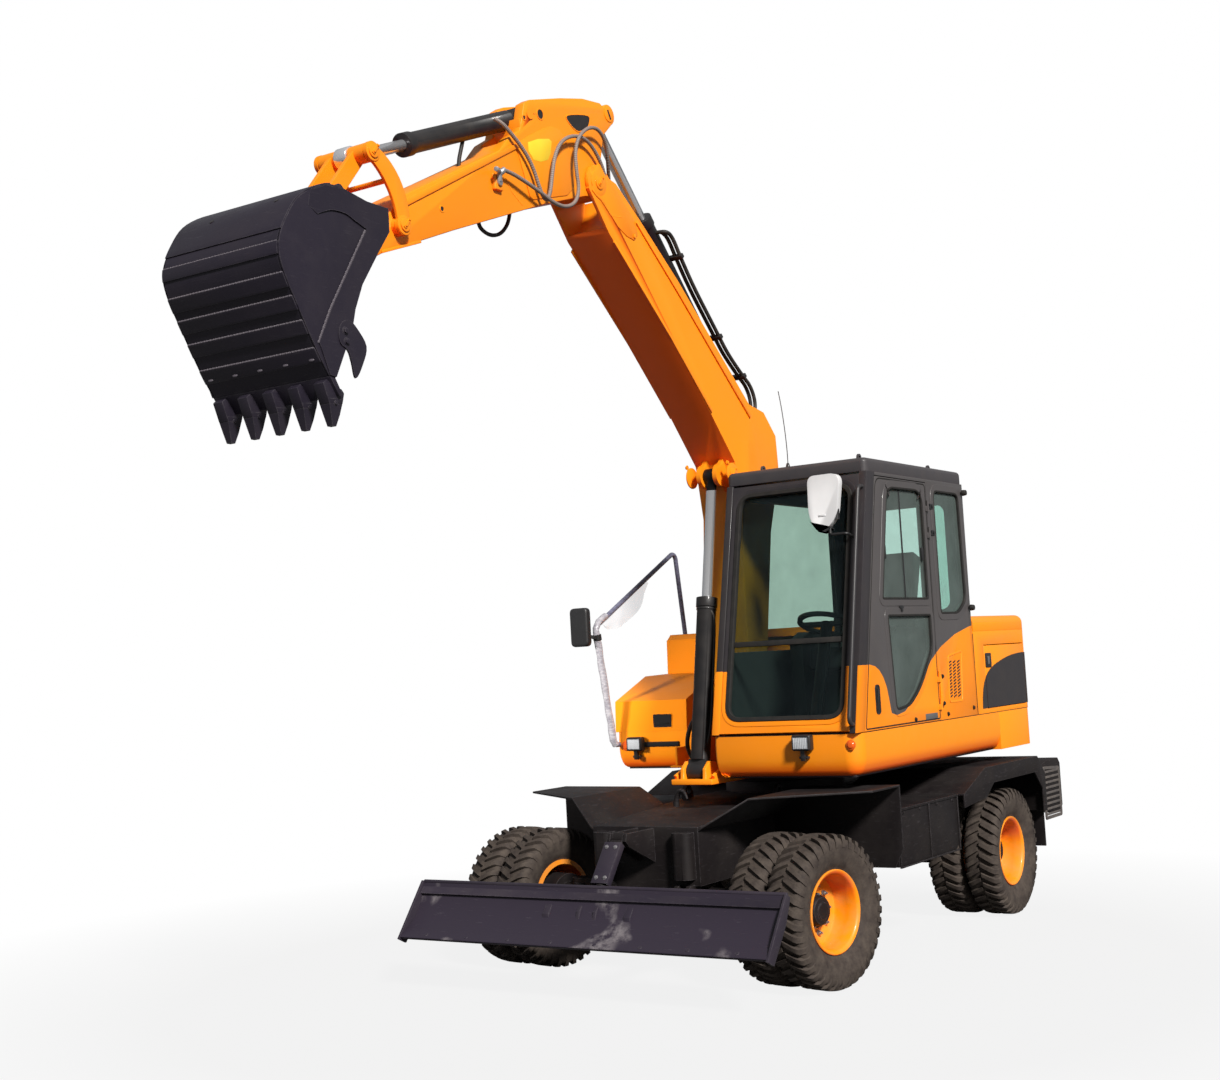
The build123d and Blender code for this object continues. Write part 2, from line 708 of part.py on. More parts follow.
# ====================================================================== arm
ARM_SIDE = [
    (-507, 5178), (-577, 5215), (-760, 5196), (-993, 5139), (-1290, 5053), (-1345, 5020),
    (-1372, 4930), (-1400, 4850), (-1500, 4790), (-1591, 4694), (-2423, 4267), (-2479, 4210),
    (-2530, 4150), (-2700, 4060), (-2640, 3920), (-2586, 3948), (-2015, 4171), (-1197, 4474),
    (-800, 4600), (-640, 4640), (-600, 4860), (-560, 5020), (-450, 5120),
]
with BuildPart() as arm:
    with BuildSketch(side(-ARM_HALF)):
        with BuildLine():
            Polyline(*ARM_SIDE, close=True)
        make_face()
        with Locations(ARM_PIVOT):
            Circle(95)
        with Locations(BUCKET_PIN):
            Circle(72)
        with Locations(ARM_CYL_EYE):
            Circle(62)
    extrude(amount=2 * ARM_HALF)
    # hollow of the tapered box
    with BuildSketch(side(-ARM_HALF + PLATE_T)):
        with BuildLine():
            Polyline(
                (-900, 4590), (-900, 4760), (-1585, 4681), (-2330, 4300), (-2350, 4055),
                (-2011, 4185), (-1193, 4488), close=True,
            )
        make_face()
    extrude(amount=2 * (ARM_HALF - PLATE_T), mode=Mode.SUBTRACT)
    # slot between the top plates, for both cylinders' eyes
    with BuildSketch(side(-TOP_SLOT)):
        with BuildLine():
            Polyline(
                (-380, 5050), (-640, 4880), (-1300, 4830), (-1650, 4720), (-1700, 5300), (-380, 5320),
                close=True,
            )
        make_face()
    extrude(amount=2 * TOP_SLOT, mode=Mode.SUBTRACT)
    # pin of the bucket cylinder's base
    with BuildSketch(side(-ARM_HALF - 6)):
        with Locations(BUCKET_CYL_BASE):
            Circle(30)
    extrude(amount=2 * ARM_HALF + 12)
    # lightening holes in the top plates
    for hole, radius in (((-1189, 4995), 26), ((-823, 5030), 46)):
        with BuildSketch(side(-ARM_HALF - 1)):
            with Locations(hole):
                Circle(radius)
        extrude(amount=2 * ARM_HALF + 2, mode=Mode.SUBTRACT)
    # bores of the arm pivot and the bucket pin; boss pins of the rocker
    for centre, radius in ((ARM_PIVOT, 40), (BUCKET_PIN, 32)):
        with BuildSketch(side(-ARM_HALF - 1)):
            with Locations(centre):
                Circle(radius + RUN)
        extrude(amount=2 * ARM_HALF + 2, mode=Mode.SUBTRACT)
    with BuildSketch(side(-ROCKER_IN - ROCKER_T)):
        with Locations(ROCKER_PIVOT):
            Circle(30)
    extrude(amount=2 * (ROCKER_IN + ROCKER_T))
save(arm, "arm")

# ========================================================== rocker and link
with BuildPart() as rocker:
    for sign in (-1, 1):
        with BuildSketch(side(sign * ROCKER_IN)):
            with BuildLine():
                ThreePointArc((-2430, 4100), (-2462, 4290), (-2655, 4462))
                Line((-2655, 4462), (-2700, 4390))
                ThreePointArc((-2700, 4390), (-2565, 4255), (-2510, 4100))
                Line((-2510, 4100), (-2430, 4100))
            make_face()
            with Locations(ROCKER_PIVOT):
                Circle(52)
            with Locations(LINK_TOP):
                Circle(50)
        extrude(amount=sign * ROCKER_T)
        # boss that keeps the plate off the arm
        with BuildSketch(side(sign * (ARM_HALF + RUN))):
            with Locations(ROCKER_PIVOT):
                Circle(48)
        extrude(amount=sign * (ROCKER_IN - ARM_HALF))
        with BuildSketch(side(sign * ARM_HALF)):
            with Locations(ROCKER_PIVOT):
                Circle(30 + RUN)
        extrude(amount=sign * 60, mode=Mode.SUBTRACT)
    # tie bar between the two plates, clear of the arm's top
    with BuildSketch(side(-ROCKER_IN - 2)):
        with Locations((-2520, 4330)):
            Circle(14)
    extrude(amount=2 * (ROCKER_IN + 2))
save(rocker, "bucket_rocker")

LINK_RUN = (LINK_TOP[0] - LINK_FOOT[0], LINK_TOP[1] - LINK_FOOT[1])
LINK_WIDE = 42.0
across = (
    LINK_RUN[1] * LINK_WIDE / hypot(*LINK_RUN), -LINK_RUN[0] * LINK_WIDE / hypot(*LINK_RUN),
)
with BuildPart() as link:
    for sign in (-1, 1):
        with BuildSketch(side(sign * 62)):
            with BuildLine():
                Polyline(
                    (LINK_FOOT[0] + across[0], LINK_FOOT[1] + across[1]),
                    (LINK_TOP[0] + across[0], LINK_TOP[1] + across[1]),
                    (LINK_TOP[0] - across[0], LINK_TOP[1] - across[1]),
                    (LINK_FOOT[0] - across[0], LINK_FOOT[1] - across[1]), close=True,
                )
            make_face()
        extrude(amount=sign * 26)
        with BuildSketch(side(sign * (EYE_HALF + GAP))):
            with Locations(LINK_TOP):
                Circle(48)
        extrude(amount=sign * (ROCKER_IN - GAP - EYE_HALF - GAP))
    with BuildSketch(side(-ARM_HALF)):
        with Locations(LINK_FOOT):
            Circle(46)
    extrude(amount=2 * ARM_HALF)
    with BuildSketch(side(-ARM_HALF - 1)):
        with Locations(LINK_FOOT):
            Circle(30 + RUN)
    extrude(amount=2 * ARM_HALF + 2, mode=Mode.SUBTRACT)
save(link, "bucket_link")

# =================================================================== bucket
SHELL_OUT = [
    (-2820, 4076), (-2972, 4079), (-3123, 4108), (-3241, 4102), (-3400, 4020), (-3488, 3911),
    (-3543, 3789), (-3528, 3676), (-3433, 3497), (-3332, 3324), (-3262, 3224),
]
SHELL_IN = [
    (-3245, 3240), (-3313, 3334), (-3414, 3507), (-3509, 3682), (-3522, 3784), (-3469, 3901),
    (-3386, 4004), (-3234, 4083), (-3124, 4088), (-2970, 4059), (-2820, 4056),
]
BUCKET_SIDE = [
    (-2820, 4076), (-2972, 4079), (-3123, 4108), (-3241, 4102), (-3400, 4020), (-3488, 3911),
    (-3543, 3789), (-3528, 3676), (-3433, 3497), (-3332, 3324), (-3262, 3224), (-3225, 3219),
    (-3106, 3454), (-3080, 3550), (-3025, 3674), (-2905, 3845), (-2821, 3960),
]
CUTTING_EDGE = [(-3262, 3224), (-3245, 3240), (-3185, 3150), (-3205, 3140)]
with BuildPart() as bucket:
    with BuildSketch(side(-BUCKET_HALF)):
        with BuildLine():
            Polyline(*SHELL_OUT, *SHELL_IN, close=True)
        make_face()
    extrude(amount=2 * BUCKET_HALF)
    for sign in (-1, 1):
        with BuildSketch(side(sign * (BUCKET_HALF - 16))):
            with BuildLine():
                Polyline(*BUCKET_SIDE, close=True)
            make_face()
        extrude(amount=sign * 16)
        # side cutter
        with BuildSketch(side(sign * (BUCKET_HALF - 1))):
            with BuildLine():
                Polyline(
                    (-3160, 3340), (-3100, 3470), (-3024, 3381), (-3100, 3233), (-3161, 3300),
                    close=True,
                )
            make_face()
        extrude(amount=sign * 15)
        # ears for the bucket pin and the link pin
        with BuildSketch(side(sign * EAR_IN)):
            with BuildLine():
                Polyline(
                    (-2660, 3970), (-2700, 4050), (-2850, 4190), (-2905, 4225), (-2970, 4170),
                    (-3080, 4085), (-2830, 4060), (-2760, 3940), close=True,
                )
            make_face()
            with Locations(BUCKET_PIN):
                Circle(68)
            with Locations(LINK_FOOT):
                Circle(62)
        extrude(amount=sign * EAR_T)
    # pins
    for centre, radius in ((BUCKET_PIN, 32), (LINK_FOOT, 30)):
        with BuildSketch(side(-EAR_IN - EAR_T)):
            with Locations(centre):
                Circle(radius)
        extrude(amount=2 * (EAR_IN + EAR_T))
    with BuildSketch(side(-BUCKET_HALF)):
        with BuildLine():
            Polyline(*CUTTING_EDGE, close=True)
        make_face()
    extrude(amount=2 * BUCKET_HALF)
save(bucket, "bucket")

TEETH = 5
TOOTH_PITCH = 162.0
TOOTH_W = 68.0
TOOTH_SIDE = [
    (-3284, 3180), (-3262, 3208), (-3200, 3170), (-3165, 3178), (-3150, 3160), (-3199, 3009), (-3222, 3010),
]
with BuildPart() as bucket_teeth:
    for number in range(TEETH):
        x = (number - (TEETH - 1) / 2) * TOOTH_PITCH
        with BuildSketch(side(x - TOOTH_W / 2)):
            with BuildLine():
                Polyline(*TOOTH_SIDE, close=True)
            make_face()
            # each adapter straddles the cutting edge
            with BuildSketch(mode=Mode.PRIVATE) as lip:
                with BuildLine():
                    Polyline(*CUTTING_EDGE, close=True)
                make_face()
                offset(amount=RUN, kind=Kind.INTERSECTION)
            add(lip.sketch, mode=Mode.SUBTRACT)
        extrude(amount=TOOTH_W)
save(bucket_teeth, "bucket_teeth")

# ============================================================ house: frame
with BuildPart() as house_frame:
    with BuildSketch(Plane.XY.offset(SLEW_SPLIT + RUN)):
        with Locations((0, SLEW_Y)):
            Circle(SLEW_R - 20)
            Circle(SLEW_R - 130, mode=Mode.SUBTRACT)
    extrude(amount=HOUSE_BOTTOM - SLEW_SPLIT - RUN)
    with BuildSketch(Plane.XY.offset(HOUSE_BOTTOM)):
        with BuildLine():
            Polyline(
                (CAB_IN + 40, HOUSE_FRONT + 60), (HOUSE_HALF - 60, HOUSE_FRONT + 60),
                (HOUSE_HALF - 60, CW_FRONT - 1), (-HOUSE_HALF + 60, CW_FRONT - 1),
                (-HOUSE_HALF + 60, TANK_FRONT + 60), (-CAB_IN, TANK_FRONT + 60),
                (-CAB_IN, SLEW_Y - SLEW_R), (CAB_IN + 40, SLEW_Y - SLEW_R), close=True,
            )
        make_face()
    extrude(amount=FLOOR_T)
save(house_frame, "house_frame")

BRACKET_IN = FOOT_HALF + GAP
BRACKET_T = 24.0
with BuildPart() as boom_bracket:
    for sign in (-1, 1):
        with BuildSketch(side(sign * BRACKET_IN)):
            with BuildLine():
                Polyline(
                    (262, HOUSE_BOTTOM), (240, 1150), (420, 1210), (560, 1330), (760, 1700),
                    (880, 1850), (1000, 1730), (1500, 1400), (1560, HOUSE_BOTTOM + FLOOR_T + RUN),
                    (SLEW_Y - SLEW_R - 5, HOUSE_BOTTOM + FLOOR_T + RUN),
                    (SLEW_Y - SLEW_R - 5, HOUSE_BOTTOM), close=True,
                )
            make_face()
            with Locations(BOOM_FOOT):
                Circle(110)
        extrude(amount=sign * BRACKET_T)
        # ears at the base of the lift cylinder
        with BuildSketch(side(sign * WIDE_SLOT)):
            with BuildLine():
                Polyline((236, 1100), (240, 1190), (300, 1235), (380, 1225), (440, 1160), (450, 1100),
                         close=True)
            make_face()
        extrude(amount=sign * 26)
    # base plate and cross pins
    with BuildSketch(Plane.XY.offset(1092)):
        with BuildLine():
            Polyline(
                (-BRACKET_IN - BRACKET_T, 215), (-160, 235), (-160, 290),
                (-BRACKET_IN - BRACKET_T, SLEW_Y - SLEW_R - 5),
                (BRACKET_IN + BRACKET_T, SLEW_Y - SLEW_R - 5), (BRACKET_IN + BRACKET_T, 215), close=True,
            )
        make_face()
    extrude(amount=HOUSE_BOTTOM - 1092 + 1)
    with BuildSketch(side(-WIDE_SLOT - 26)):
        with Locations(LIFT_BASE):
            Circle(35)
    extrude(amount=2 * (WIDE_SLOT + 26))
    with BuildSketch(side(-BRACKET_IN - BRACKET_T)):
        with Locations(BOOM_FOOT):
            Circle(45)
    extrude(amount=2 * (BRACKET_IN + BRACKET_T))
    # recess that keeps the barrel's foot clear of the base plate
    with BuildSketch(side(-WIDE_SLOT)):
        with Locations(LIFT_BASE):
            Circle(68)
        with Locations(LIFT_BASE):
            Circle(35, mode=Mode.SUBTRACT)
    extrude(amount=2 * WIDE_SLOT, mode=Mode.SUBTRACT)
save(boom_bracket, "boom_bracket")

# ------------------------------------------------------ orange lower panels
SKIRT_T = 24.0
with BuildPart() as lower_body:
    with BuildSketch(Plane.XY.offset(HOUSE_BOTTOM + 10)) as ring:
        with BuildLine():
            Polyline(
                (CAB_IN, HOUSE_FRONT), (HOUSE_HALF, HOUSE_FRONT), (HOUSE_HALF, CW_FRONT - 1),
                (HOUSE_HALF - SKIRT_T, CW_FRONT - 1), (HOUSE_HALF - SKIRT_T, HOUSE_FRONT + SKIRT_T),
                (CAB_IN + SKIRT_T, HOUSE_FRONT + SKIRT_T), (CAB_IN + SKIRT_T, 1025), (CAB_IN, 1025),
                close=True,
            )
        make_face()
        fillet(ring.vertices().sort_by_distance((HOUSE_HALF, HOUSE_FRONT, HOUSE_BOTTOM + 10))[0], 90)
        fillet(
            ring.vertices().sort_by_distance(
                (HOUSE_HALF - SKIRT_T, HOUSE_FRONT + SKIRT_T, HOUSE_BOTTOM + 10))[0], 66)
    extrude(amount=SEAM_Z - HOUSE_BOTTOM - 10)
    with BuildSketch(Plane.XY.offset(HOUSE_BOTTOM + 10)):
        with BuildLine():
            Polyline(
                (-CAB_IN - 200, TANK_FRONT + SKIRT_T), (-CAB_IN - 200, TANK_FRONT),
                (-HOUSE_HALF, TANK_FRONT), (-HOUSE_HALF, CW_FRONT - 1),
                (-HOUSE_HALF + SKIRT_T, CW_FRONT - 1), (-HOUSE_HALF + SKIRT_T, TANK_FRONT + SKIRT_T),
                close=True,
            )
        make_face()
    extrude(amount=SEAM_Z - HOUSE_BOTTOM - 10)
save(lower_body, "lower_body")

with BuildPart() as counterweight:
    with BuildSketch(Plane.XY.offset(HOUSE_BOTTOM)) as weight_plan:
        with BuildLine():
            Polyline(
                (-HOUSE_HALF, CW_FRONT), (HOUSE_HALF, CW_FRONT), (HOUSE_HALF, HOUSE_REAR - 10),
                (-HOUSE_HALF, HOUSE_REAR - 10), close=True,
            )
        make_face()
        fillet(weight_plan.vertices().group_by(Axis.Y)[-1], 120)
    extrude(amount=SEAM_Z - HOUSE_BOTTOM)
save(counterweight, "counterweight")

with BuildPart() as tank_cover:
    with BuildSketch(side(-HOUSE_HALF)):
        with BuildLine():
            Polyline(
                (TANK_FRONT, SEAM_Z + RUN), (TANK_FRONT + 12, 1600), (1530, 1765), (1840, 1772),
                (1850, 2020), (1900, HOOD_TOP - 2), (BAY_FRONT - GAP, HOOD_TOP - 2),
                (BAY_FRONT - GAP, SEAM_Z + RUN), close=True,
            )
        make_face()
    extrude(amount=TANK_IN + HOUSE_HALF)
    fillet(tank_cover.edges().filter_by(Axis.Y).sort_by(Axis.Z)[-1:], 60)
save(tank_cover, "tank_cover")

# ------------------------------------------------- engine bay, hood and doors
DOOR_Y = (2300.0, 3060.0)
DOOR_Z = (1420.0, 1860.0)
with BuildPart() as bay_walls:
    with BuildSketch(Plane.XY.offset(SEAM_Z + RUN)) as bay_plan:
        with BuildLine():
            Polyline(
                (-HOUSE_HALF, BAY_FRONT), (HOUSE_HALF, BAY_FRONT), (HOUSE_HALF, HOUSE_REAR),
                (-HOUSE_HALF, HOUSE_REAR), close=True,
            )
        make_face()
        fillet(bay_plan.vertices().group_by(Axis.Y)[-1], 120)
        offset(amount=-WALL, mode=Mode.SUBTRACT, kind=Kind.ARC)
    extrude(amount=BAY_TOP - SEAM_Z - RUN)
    with BuildSketch(side(HOUSE_HALF - WALL - 5)):
        with BuildLine():
            Polyline(
                (DOOR_Y[0], DOOR_Z[0]), (DOOR_Y[1], DOOR_Z[0]), (DOOR_Y[1], DOOR_Z[1]),
                (DOOR_Y[0], DOOR_Z[1]), close=True,
            )
        make_face()
    extrude(amount=WALL + 10, mode=Mode.SUBTRACT)
save(bay_walls, "bay_walls")

with BuildPart() as side_door:
    with BuildSketch(side(HOUSE_HALF - 26)):
        with BuildLine():
            Polyline(
                (DOOR_Y[0] + GAP, DOOR_Z[0] + GAP), (DOOR_Y[1] - 0.5, DOOR_Z[0] + GAP),
                (DOOR_Y[1] - 0.5, DOOR_Z[1] - GAP), (DOOR_Y[0] + GAP, DOOR_Z[1] - GAP), close=True,
            )
        make_face()
    extrude(amount=26)
save(side_door, "side_door")

with BuildPart() as engine_hood:
    with BuildSketch(Plane.XY.offset(BAY_TOP + RUN)) as hood_plan:
        with BuildLine():
            Polyline(
                (-HOUSE_HALF, BAY_FRONT + GAP), (HOUSE_HALF, BAY_FRONT + GAP),
                (HOUSE_HALF, HOUSE_REAR), (-HOUSE_HALF, HOUSE_REAR), close=True,
            )
        make_face()
        fillet(hood_plan.vertices().group_by(Axis.Y)[-1], 120)
    extrude(amount=HOOD_TOP - BAY_TOP - RUN)
    fillet(
        engine_hood.edges().group_by(Axis.Z)[-1].sort_by(Axis.Y)[1:], 55)
    with BuildSketch(Plane.XY.offset(BAY_TOP)):
        with BuildLine():
            Polyline(
                (-HOUSE_HALF + 30, BAY_FRONT - 40), (HOUSE_HALF - 30, BAY_FRONT - 40),
                (HOUSE_HALF - 30, HOUSE_REAR - 60), (-HOUSE_HALF + 30, HOUSE_REAR - 60), close=True,
            )
        make_face()
    extrude(amount=HOOD_TOP - BAY_TOP - 60, mode=Mode.SUBTRACT)
save(engine_hood, "engine_hood")

with BuildPart() as engine:
    with BuildSketch(Plane.XY.offset(HOUSE_BOTTOM + FLOOR_T + RUN)):
        with Locations((0, (BAY_FRONT + CW_FRONT) / 2 + 10)):
            Rectangle(1300, 300)
    extrude(amount=SEAM_Z - HOUSE_BOTTOM - FLOOR_T)
    with BuildSketch(Plane.XY.offset(SEAM_Z + RUN)):
        with Locations((0, (BAY_FRONT + HOUSE_REAR) / 2)):
            Rectangle(1700, 700)
    extrude(amount=420)
save(engine, "engine")

# ===================================================================== cab
def front_y(z):
    """Y of the cab's leaning front line at height z."""
    share = (z - SILL_FRONT[1]) / (HEAD_FRONT[1] - SILL_FRONT[1])
    return SILL_FRONT[0] + (HEAD_FRONT[0] - SILL_FRONT[0]) * share


def hinge_halves(half):
    """Knuckles of the lift-off door hinges: half 1 stays on the cab, half -1 is the door's."""
    for middle in HINGE_MIDS:
        low = middle + RUN / 2 if half > 0 else middle - RUN / 2 - HINGE_L
        with BuildSketch(Plane.XY.offset(low)) as knuckle:
            with Locations(HINGE_PIN):
                Circle(HINGE_R)
            with Locations((HINGE_PIN[0] - HINGE_R / 2 - 0.5, HINGE_PIN[1] + half * HINGE_LEAF / 2)):
                Rectangle(HINGE_R + 1, HINGE_LEAF)
        extrude(knuckle.sketch, amount=HINGE_L)


ROOF_BASE = CAB_TOP - ROOF_T
CAB_SIDE = [
    (front_y(CAB_BASE), CAB_BASE), (front_y(ROOF_BASE), ROOF_BASE), (CAB_REAR, ROOF_BASE),
    (CAB_REAR, CAB_BASE),
]
QUARTER = [(1585, 2075), (1585, 2905), (2030, 2905), (2050, 2160), (1900, 2075)]

with BuildPart() as cab_left:
    with BuildSketch(side(CAB_OUT - CAB_WALL)) as left_face:
        with BuildLine():
            Polyline(*CAB_SIDE, close=True)
        make_face()
        with BuildLine():
            Polyline(
                (front_y(CAB_BASE) + PILLAR, CAB_BASE - 5), (front_y(DOOR_TOP) + PILLAR, DOOR_TOP),
                (DOOR_REAR + GAP, DOOR_TOP), (DOOR_REAR + GAP, CAB_BASE - 5), close=True,
            )
        make_face(mode=Mode.SUBTRACT)
        with BuildLine():
            Polyline(*QUARTER, close=True)
        make_face(mode=Mode.SUBTRACT)
    extrude(amount=CAB_WALL)
    hinge_halves(1)
save(cab_left, "cab_left")

with BuildPart() as cab_right:
    with BuildSketch(side(CAB_IN)):
        with BuildLine():
            Polyline(*CAB_SIDE, close=True)
        make_face()
        with BuildLine():
            Polyline(
                (front_y(1900) + PILLAR, 1900), (front_y(2880) + PILLAR, 2880), (CAB_REAR - 110, 2880),
                (CAB_REAR - 110, 1900), close=True,
            )
        make_face(mode=Mode.SUBTRACT)
    extrude(amount=CAB_WALL)
save(cab_right, "cab_right")

lean = atan2(HEAD_FRONT[0] - SILL_FRONT[0], HEAD_FRONT[1] - SILL_FRONT[1])
SLOPE = hypot(HEAD_FRONT[0] - SILL_FRONT[0], HEAD_FRONT[1] - SILL_FRONT[1])
FRONT_IN = CAB_IN + CAB_WALL
FRONT_OUT = CAB_OUT - CAB_WALL
front_plane = Plane(
    origin=(0, SILL_FRONT[0], SILL_FRONT[1]), x_dir=(1, 0, 0), z_dir=(0, -cos(lean), sin(lean))
)
SCREEN_LOW = 82.0
SCREEN_HIGH = SLOPE - 66.0
with BuildPart() as cab_front:
    with BuildSketch(front_plane):
        with BuildLine():
            Polyline(
                (FRONT_IN, 14), (FRONT_OUT, 14), (FRONT_OUT, SLOPE - 14), (FRONT_IN, SLOPE - 14),
                close=True,
            )
        make_face()
        with Locations(((FRONT_IN + FRONT_OUT) / 2, (SCREEN_LOW + SCREEN_HIGH) / 2)):
            RectangleRounded(FRONT_OUT - FRONT_IN - 76, SCREEN_HIGH - SCREEN_LOW, 60, mode=Mode.SUBTRACT)
    extrude(amount=-50)
save(cab_front, "cab_front")

with BuildPart() as cab_rear:
    with BuildSketch(Plane.XZ.offset(-CAB_REAR)):
        with BuildLine():
            Polyline(
                (FRONT_IN, CAB_BASE), (FRONT_OUT, CAB_BASE), (FRONT_OUT, ROOF_BASE),
                (FRONT_IN, ROOF_BASE), close=True,
            )
        make_face()
        with Locations(((FRONT_IN + FRONT_OUT) / 2, 2480)):
            RectangleRounded(FRONT_OUT - FRONT_IN - 150, 720, 60, mode=Mode.SUBTRACT)
    extrude(amount=CAB_WALL)
save(cab_rear, "cab_rear")

with BuildPart() as cab_roof:
    with BuildSketch(Plane.XY.offset(ROOF_BASE)) as roof_plan:
        with BuildLine():
            Polyline(
                (CAB_IN, front_y(ROOF_BASE)), (CAB_OUT, front_y(ROOF_BASE)), (CAB_OUT, CAB_REAR),
                (CAB_IN, CAB_REAR), close=True,
            )
        make_face()
        fillet(roof_plan.vertices(), 40)
    extrude(amount=ROOF_T)
    fillet(cab_roof.edges().group_by(Axis.Z)[-1], 30)
    # lifting eyes
    for eye_x, eye_y in ((CAB_OUT - 150, 820), (CAB_OUT - 150, 1900), (CAB_IN + 150, 820),
                         (CAB_IN + 150, 1900)):
        with BuildSketch(side(eye_x - 6)):
            with Locations((eye_y, CAB_TOP + 24)):
                Circle(26)
            with Locations((eye_y, CAB_TOP + 8)):
                Rectangle(44, 36)
            with Locations((eye_y, CAB_TOP + 26)):
                Circle(12, mode=Mode.SUBTRACT)
        extrude(amount=12)
save(cab_roof, "cab_roof")

MOUNT_R = 42.0
MOUNT_IN = 115.0
with BuildPart() as cab_floor:
    with BuildSketch(Plane.XY.offset(SEAM_Z - 20)):
        with BuildLine():
            Polyline(
                (FRONT_IN, HOUSE_FRONT + 50), (FRONT_OUT - 10, HOUSE_FRONT + 50),
                (FRONT_OUT - 10, CAB_REAR - CAB_WALL), (FRONT_IN, CAB_REAR - CAB_WALL), close=True,
            )
        make_face()
    extrude(amount=25)
    # four mounts that stand on the deck
    with BuildSketch(Plane.XY.offset(HOUSE_BOTTOM + FLOOR_T + RUN)):
        with Locations(
            *((x, y) for x in (FRONT_IN + MOUNT_IN, FRONT_OUT - MOUNT_IN)
              for y in (HOUSE_FRONT + 2 * MOUNT_IN, CAB_REAR - CAB_WALL - MOUNT_IN))
        ):
            Circle(MOUNT_R)
    extrude(amount=SEAM_Z - 20 - HOUSE_BOTTOM - FLOOR_T - RUN)
save(cab_floor, "cab_floor")

with BuildPart() as cab_glass:
    with BuildSketch(front_plane.offset(-22)):
        with Locations(((FRONT_IN + FRONT_OUT) / 2, (SCREEN_LOW + SCREEN_HIGH) / 2)):
            RectangleRounded(
                FRONT_OUT - FRONT_IN - 76 - 2 * RUN, SCREEN_HIGH - SCREEN_LOW - 2 * RUN, 59)
    extrude(amount=GLASS_T)
    with BuildSketch(Plane.XZ.offset(-CAB_REAR + 20)):
        with Locations(((FRONT_IN + FRONT_OUT) / 2, 2480)):
            RectangleRounded(FRONT_OUT - FRONT_IN - 150 - 2 * RUN, 720 - 2 * RUN, 59)
    extrude(amount=GLASS_T)
    with BuildSketch(side(CAB_IN + 20)):
        with BuildLine():
            Polyline(
                (front_y(1900) + PILLAR + RUN, 1900 + RUN), (front_y(2880) + PILLAR + RUN, 2880 - RUN),
                (CAB_REAR - 110 - RUN, 2880 - RUN), (CAB_REAR - 110 - RUN, 1900 + RUN), close=True,
            )
        make_face()
    extrude(amount=GLASS_T)
    with BuildSketch(side(CAB_OUT - 20)):
        with BuildLine():
            Polyline(*QUARTER, close=True)
        make_face()
        offset(amount=-RUN, mode=Mode.REPLACE, kind=Kind.INTERSECTION)
    extrude(amount=GLASS_T)
save(cab_glass, "cab_glass")

# -------------------------------------------------------------- cab door
DOOR_IN = CAB_OUT - 44
DOOR_SIDE = [
    (front_y(SEAM_Z + GAP) + PILLAR + GAP, SEAM_Z + GAP), (front_y(DOOR_TOP - GAP) + PILLAR + GAP,
                                                        DOOR_TOP - GAP),
    (DOOR_REAR, DOOR_TOP - GAP), (DOOR_REAR, SEAM_Z + GAP),
]
UPPER_PANE = [(690, 2170), (850, 2875), (1370, 2890), (1410, 2840), (1410, 2170)]
LOWER_PANE = [(750, 2085), (1425, 2085), (1425, 1850), (1180, 1600), (1000, 1500), (790, 1480)]
with BuildPart() as cab_door:
    with BuildSketch(side(DOOR_IN)):
        with BuildLine():
            Polyline(*DOOR_SIDE, close=True)
        make_face()
        for pane in (UPPER_PANE, LOWER_PANE):
            with BuildLine():
                Polyline(*pane, close=True)
            make_face(mode=Mode.SUBTRACT)
    extrude(amount=CAB_OUT - DOOR_IN)
    hinge_halves(-1)
save(cab_door, "cab_door")

with BuildPart() as door_glass:
    for pane in (UPPER_PANE, LOWER_PANE):
        with BuildSketch(side(CAB_OUT - 18)):
            with BuildLine():
                Polyline(*pane, close=True)
            make_face()
            offset(amount=-RUN, mode=Mode.REPLACE, kind=Kind.INTERSECTION)
        extrude(amount=GLASS_T)
save(door_glass, "door_glass")

# -------------------------------------------------------------- cab inside
SEAT_X = 660.0
with BuildPart() as seat:
    with BuildSketch(side(SEAT_X - 250)) as seat_side:
        with BuildLine():
            Polyline(
                (1230, 1390 + RUN), (1620, 1390 + RUN), (1640, 1760), (1900, 2480), (1780, 2520),
                (1560, 1900), (1120, 1900), (1110, 1760), (1230, 1740), close=True,
            )
        make_face()
    extrude(amount=500)
save(seat, "operator_seat")

with BuildPart() as controls:
    for console_x in (SEAT_X - 360, SEAT_X + 270):
        with BuildSketch(side(console_x)):
            with BuildLine():
                Polyline(
                    (1080, 1390 + RUN), (1700, 1390 + RUN), (1700, 1990), (1180, 2010), (1060, 1960),
                    close=True,
                )
            make_face()
        extrude(amount=90)
    # steering column and wheel
    column = Plane(origin=(SEAT_X, 640, 1390 + RUN), x_dir=(1, 0, 0),
                   z_dir=(0, sin(radians(22)), cos(radians(22))))
    with BuildSketch(Plane.XY.offset(1390 + RUN)):
        with Locations((SEAT_X, 650)):
            Rectangle(150, 130)
    extrude(amount=60)
    with BuildSketch(column.offset(30)):
        Circle(38)
    extrude(amount=690)
    with BuildSketch(column.offset(700)):
        Circle(190)
        Circle(160, mode=Mode.SUBTRACT)
        Rectangle(330, 40)
    extrude(amount=24)
save(controls, "cab_controls")

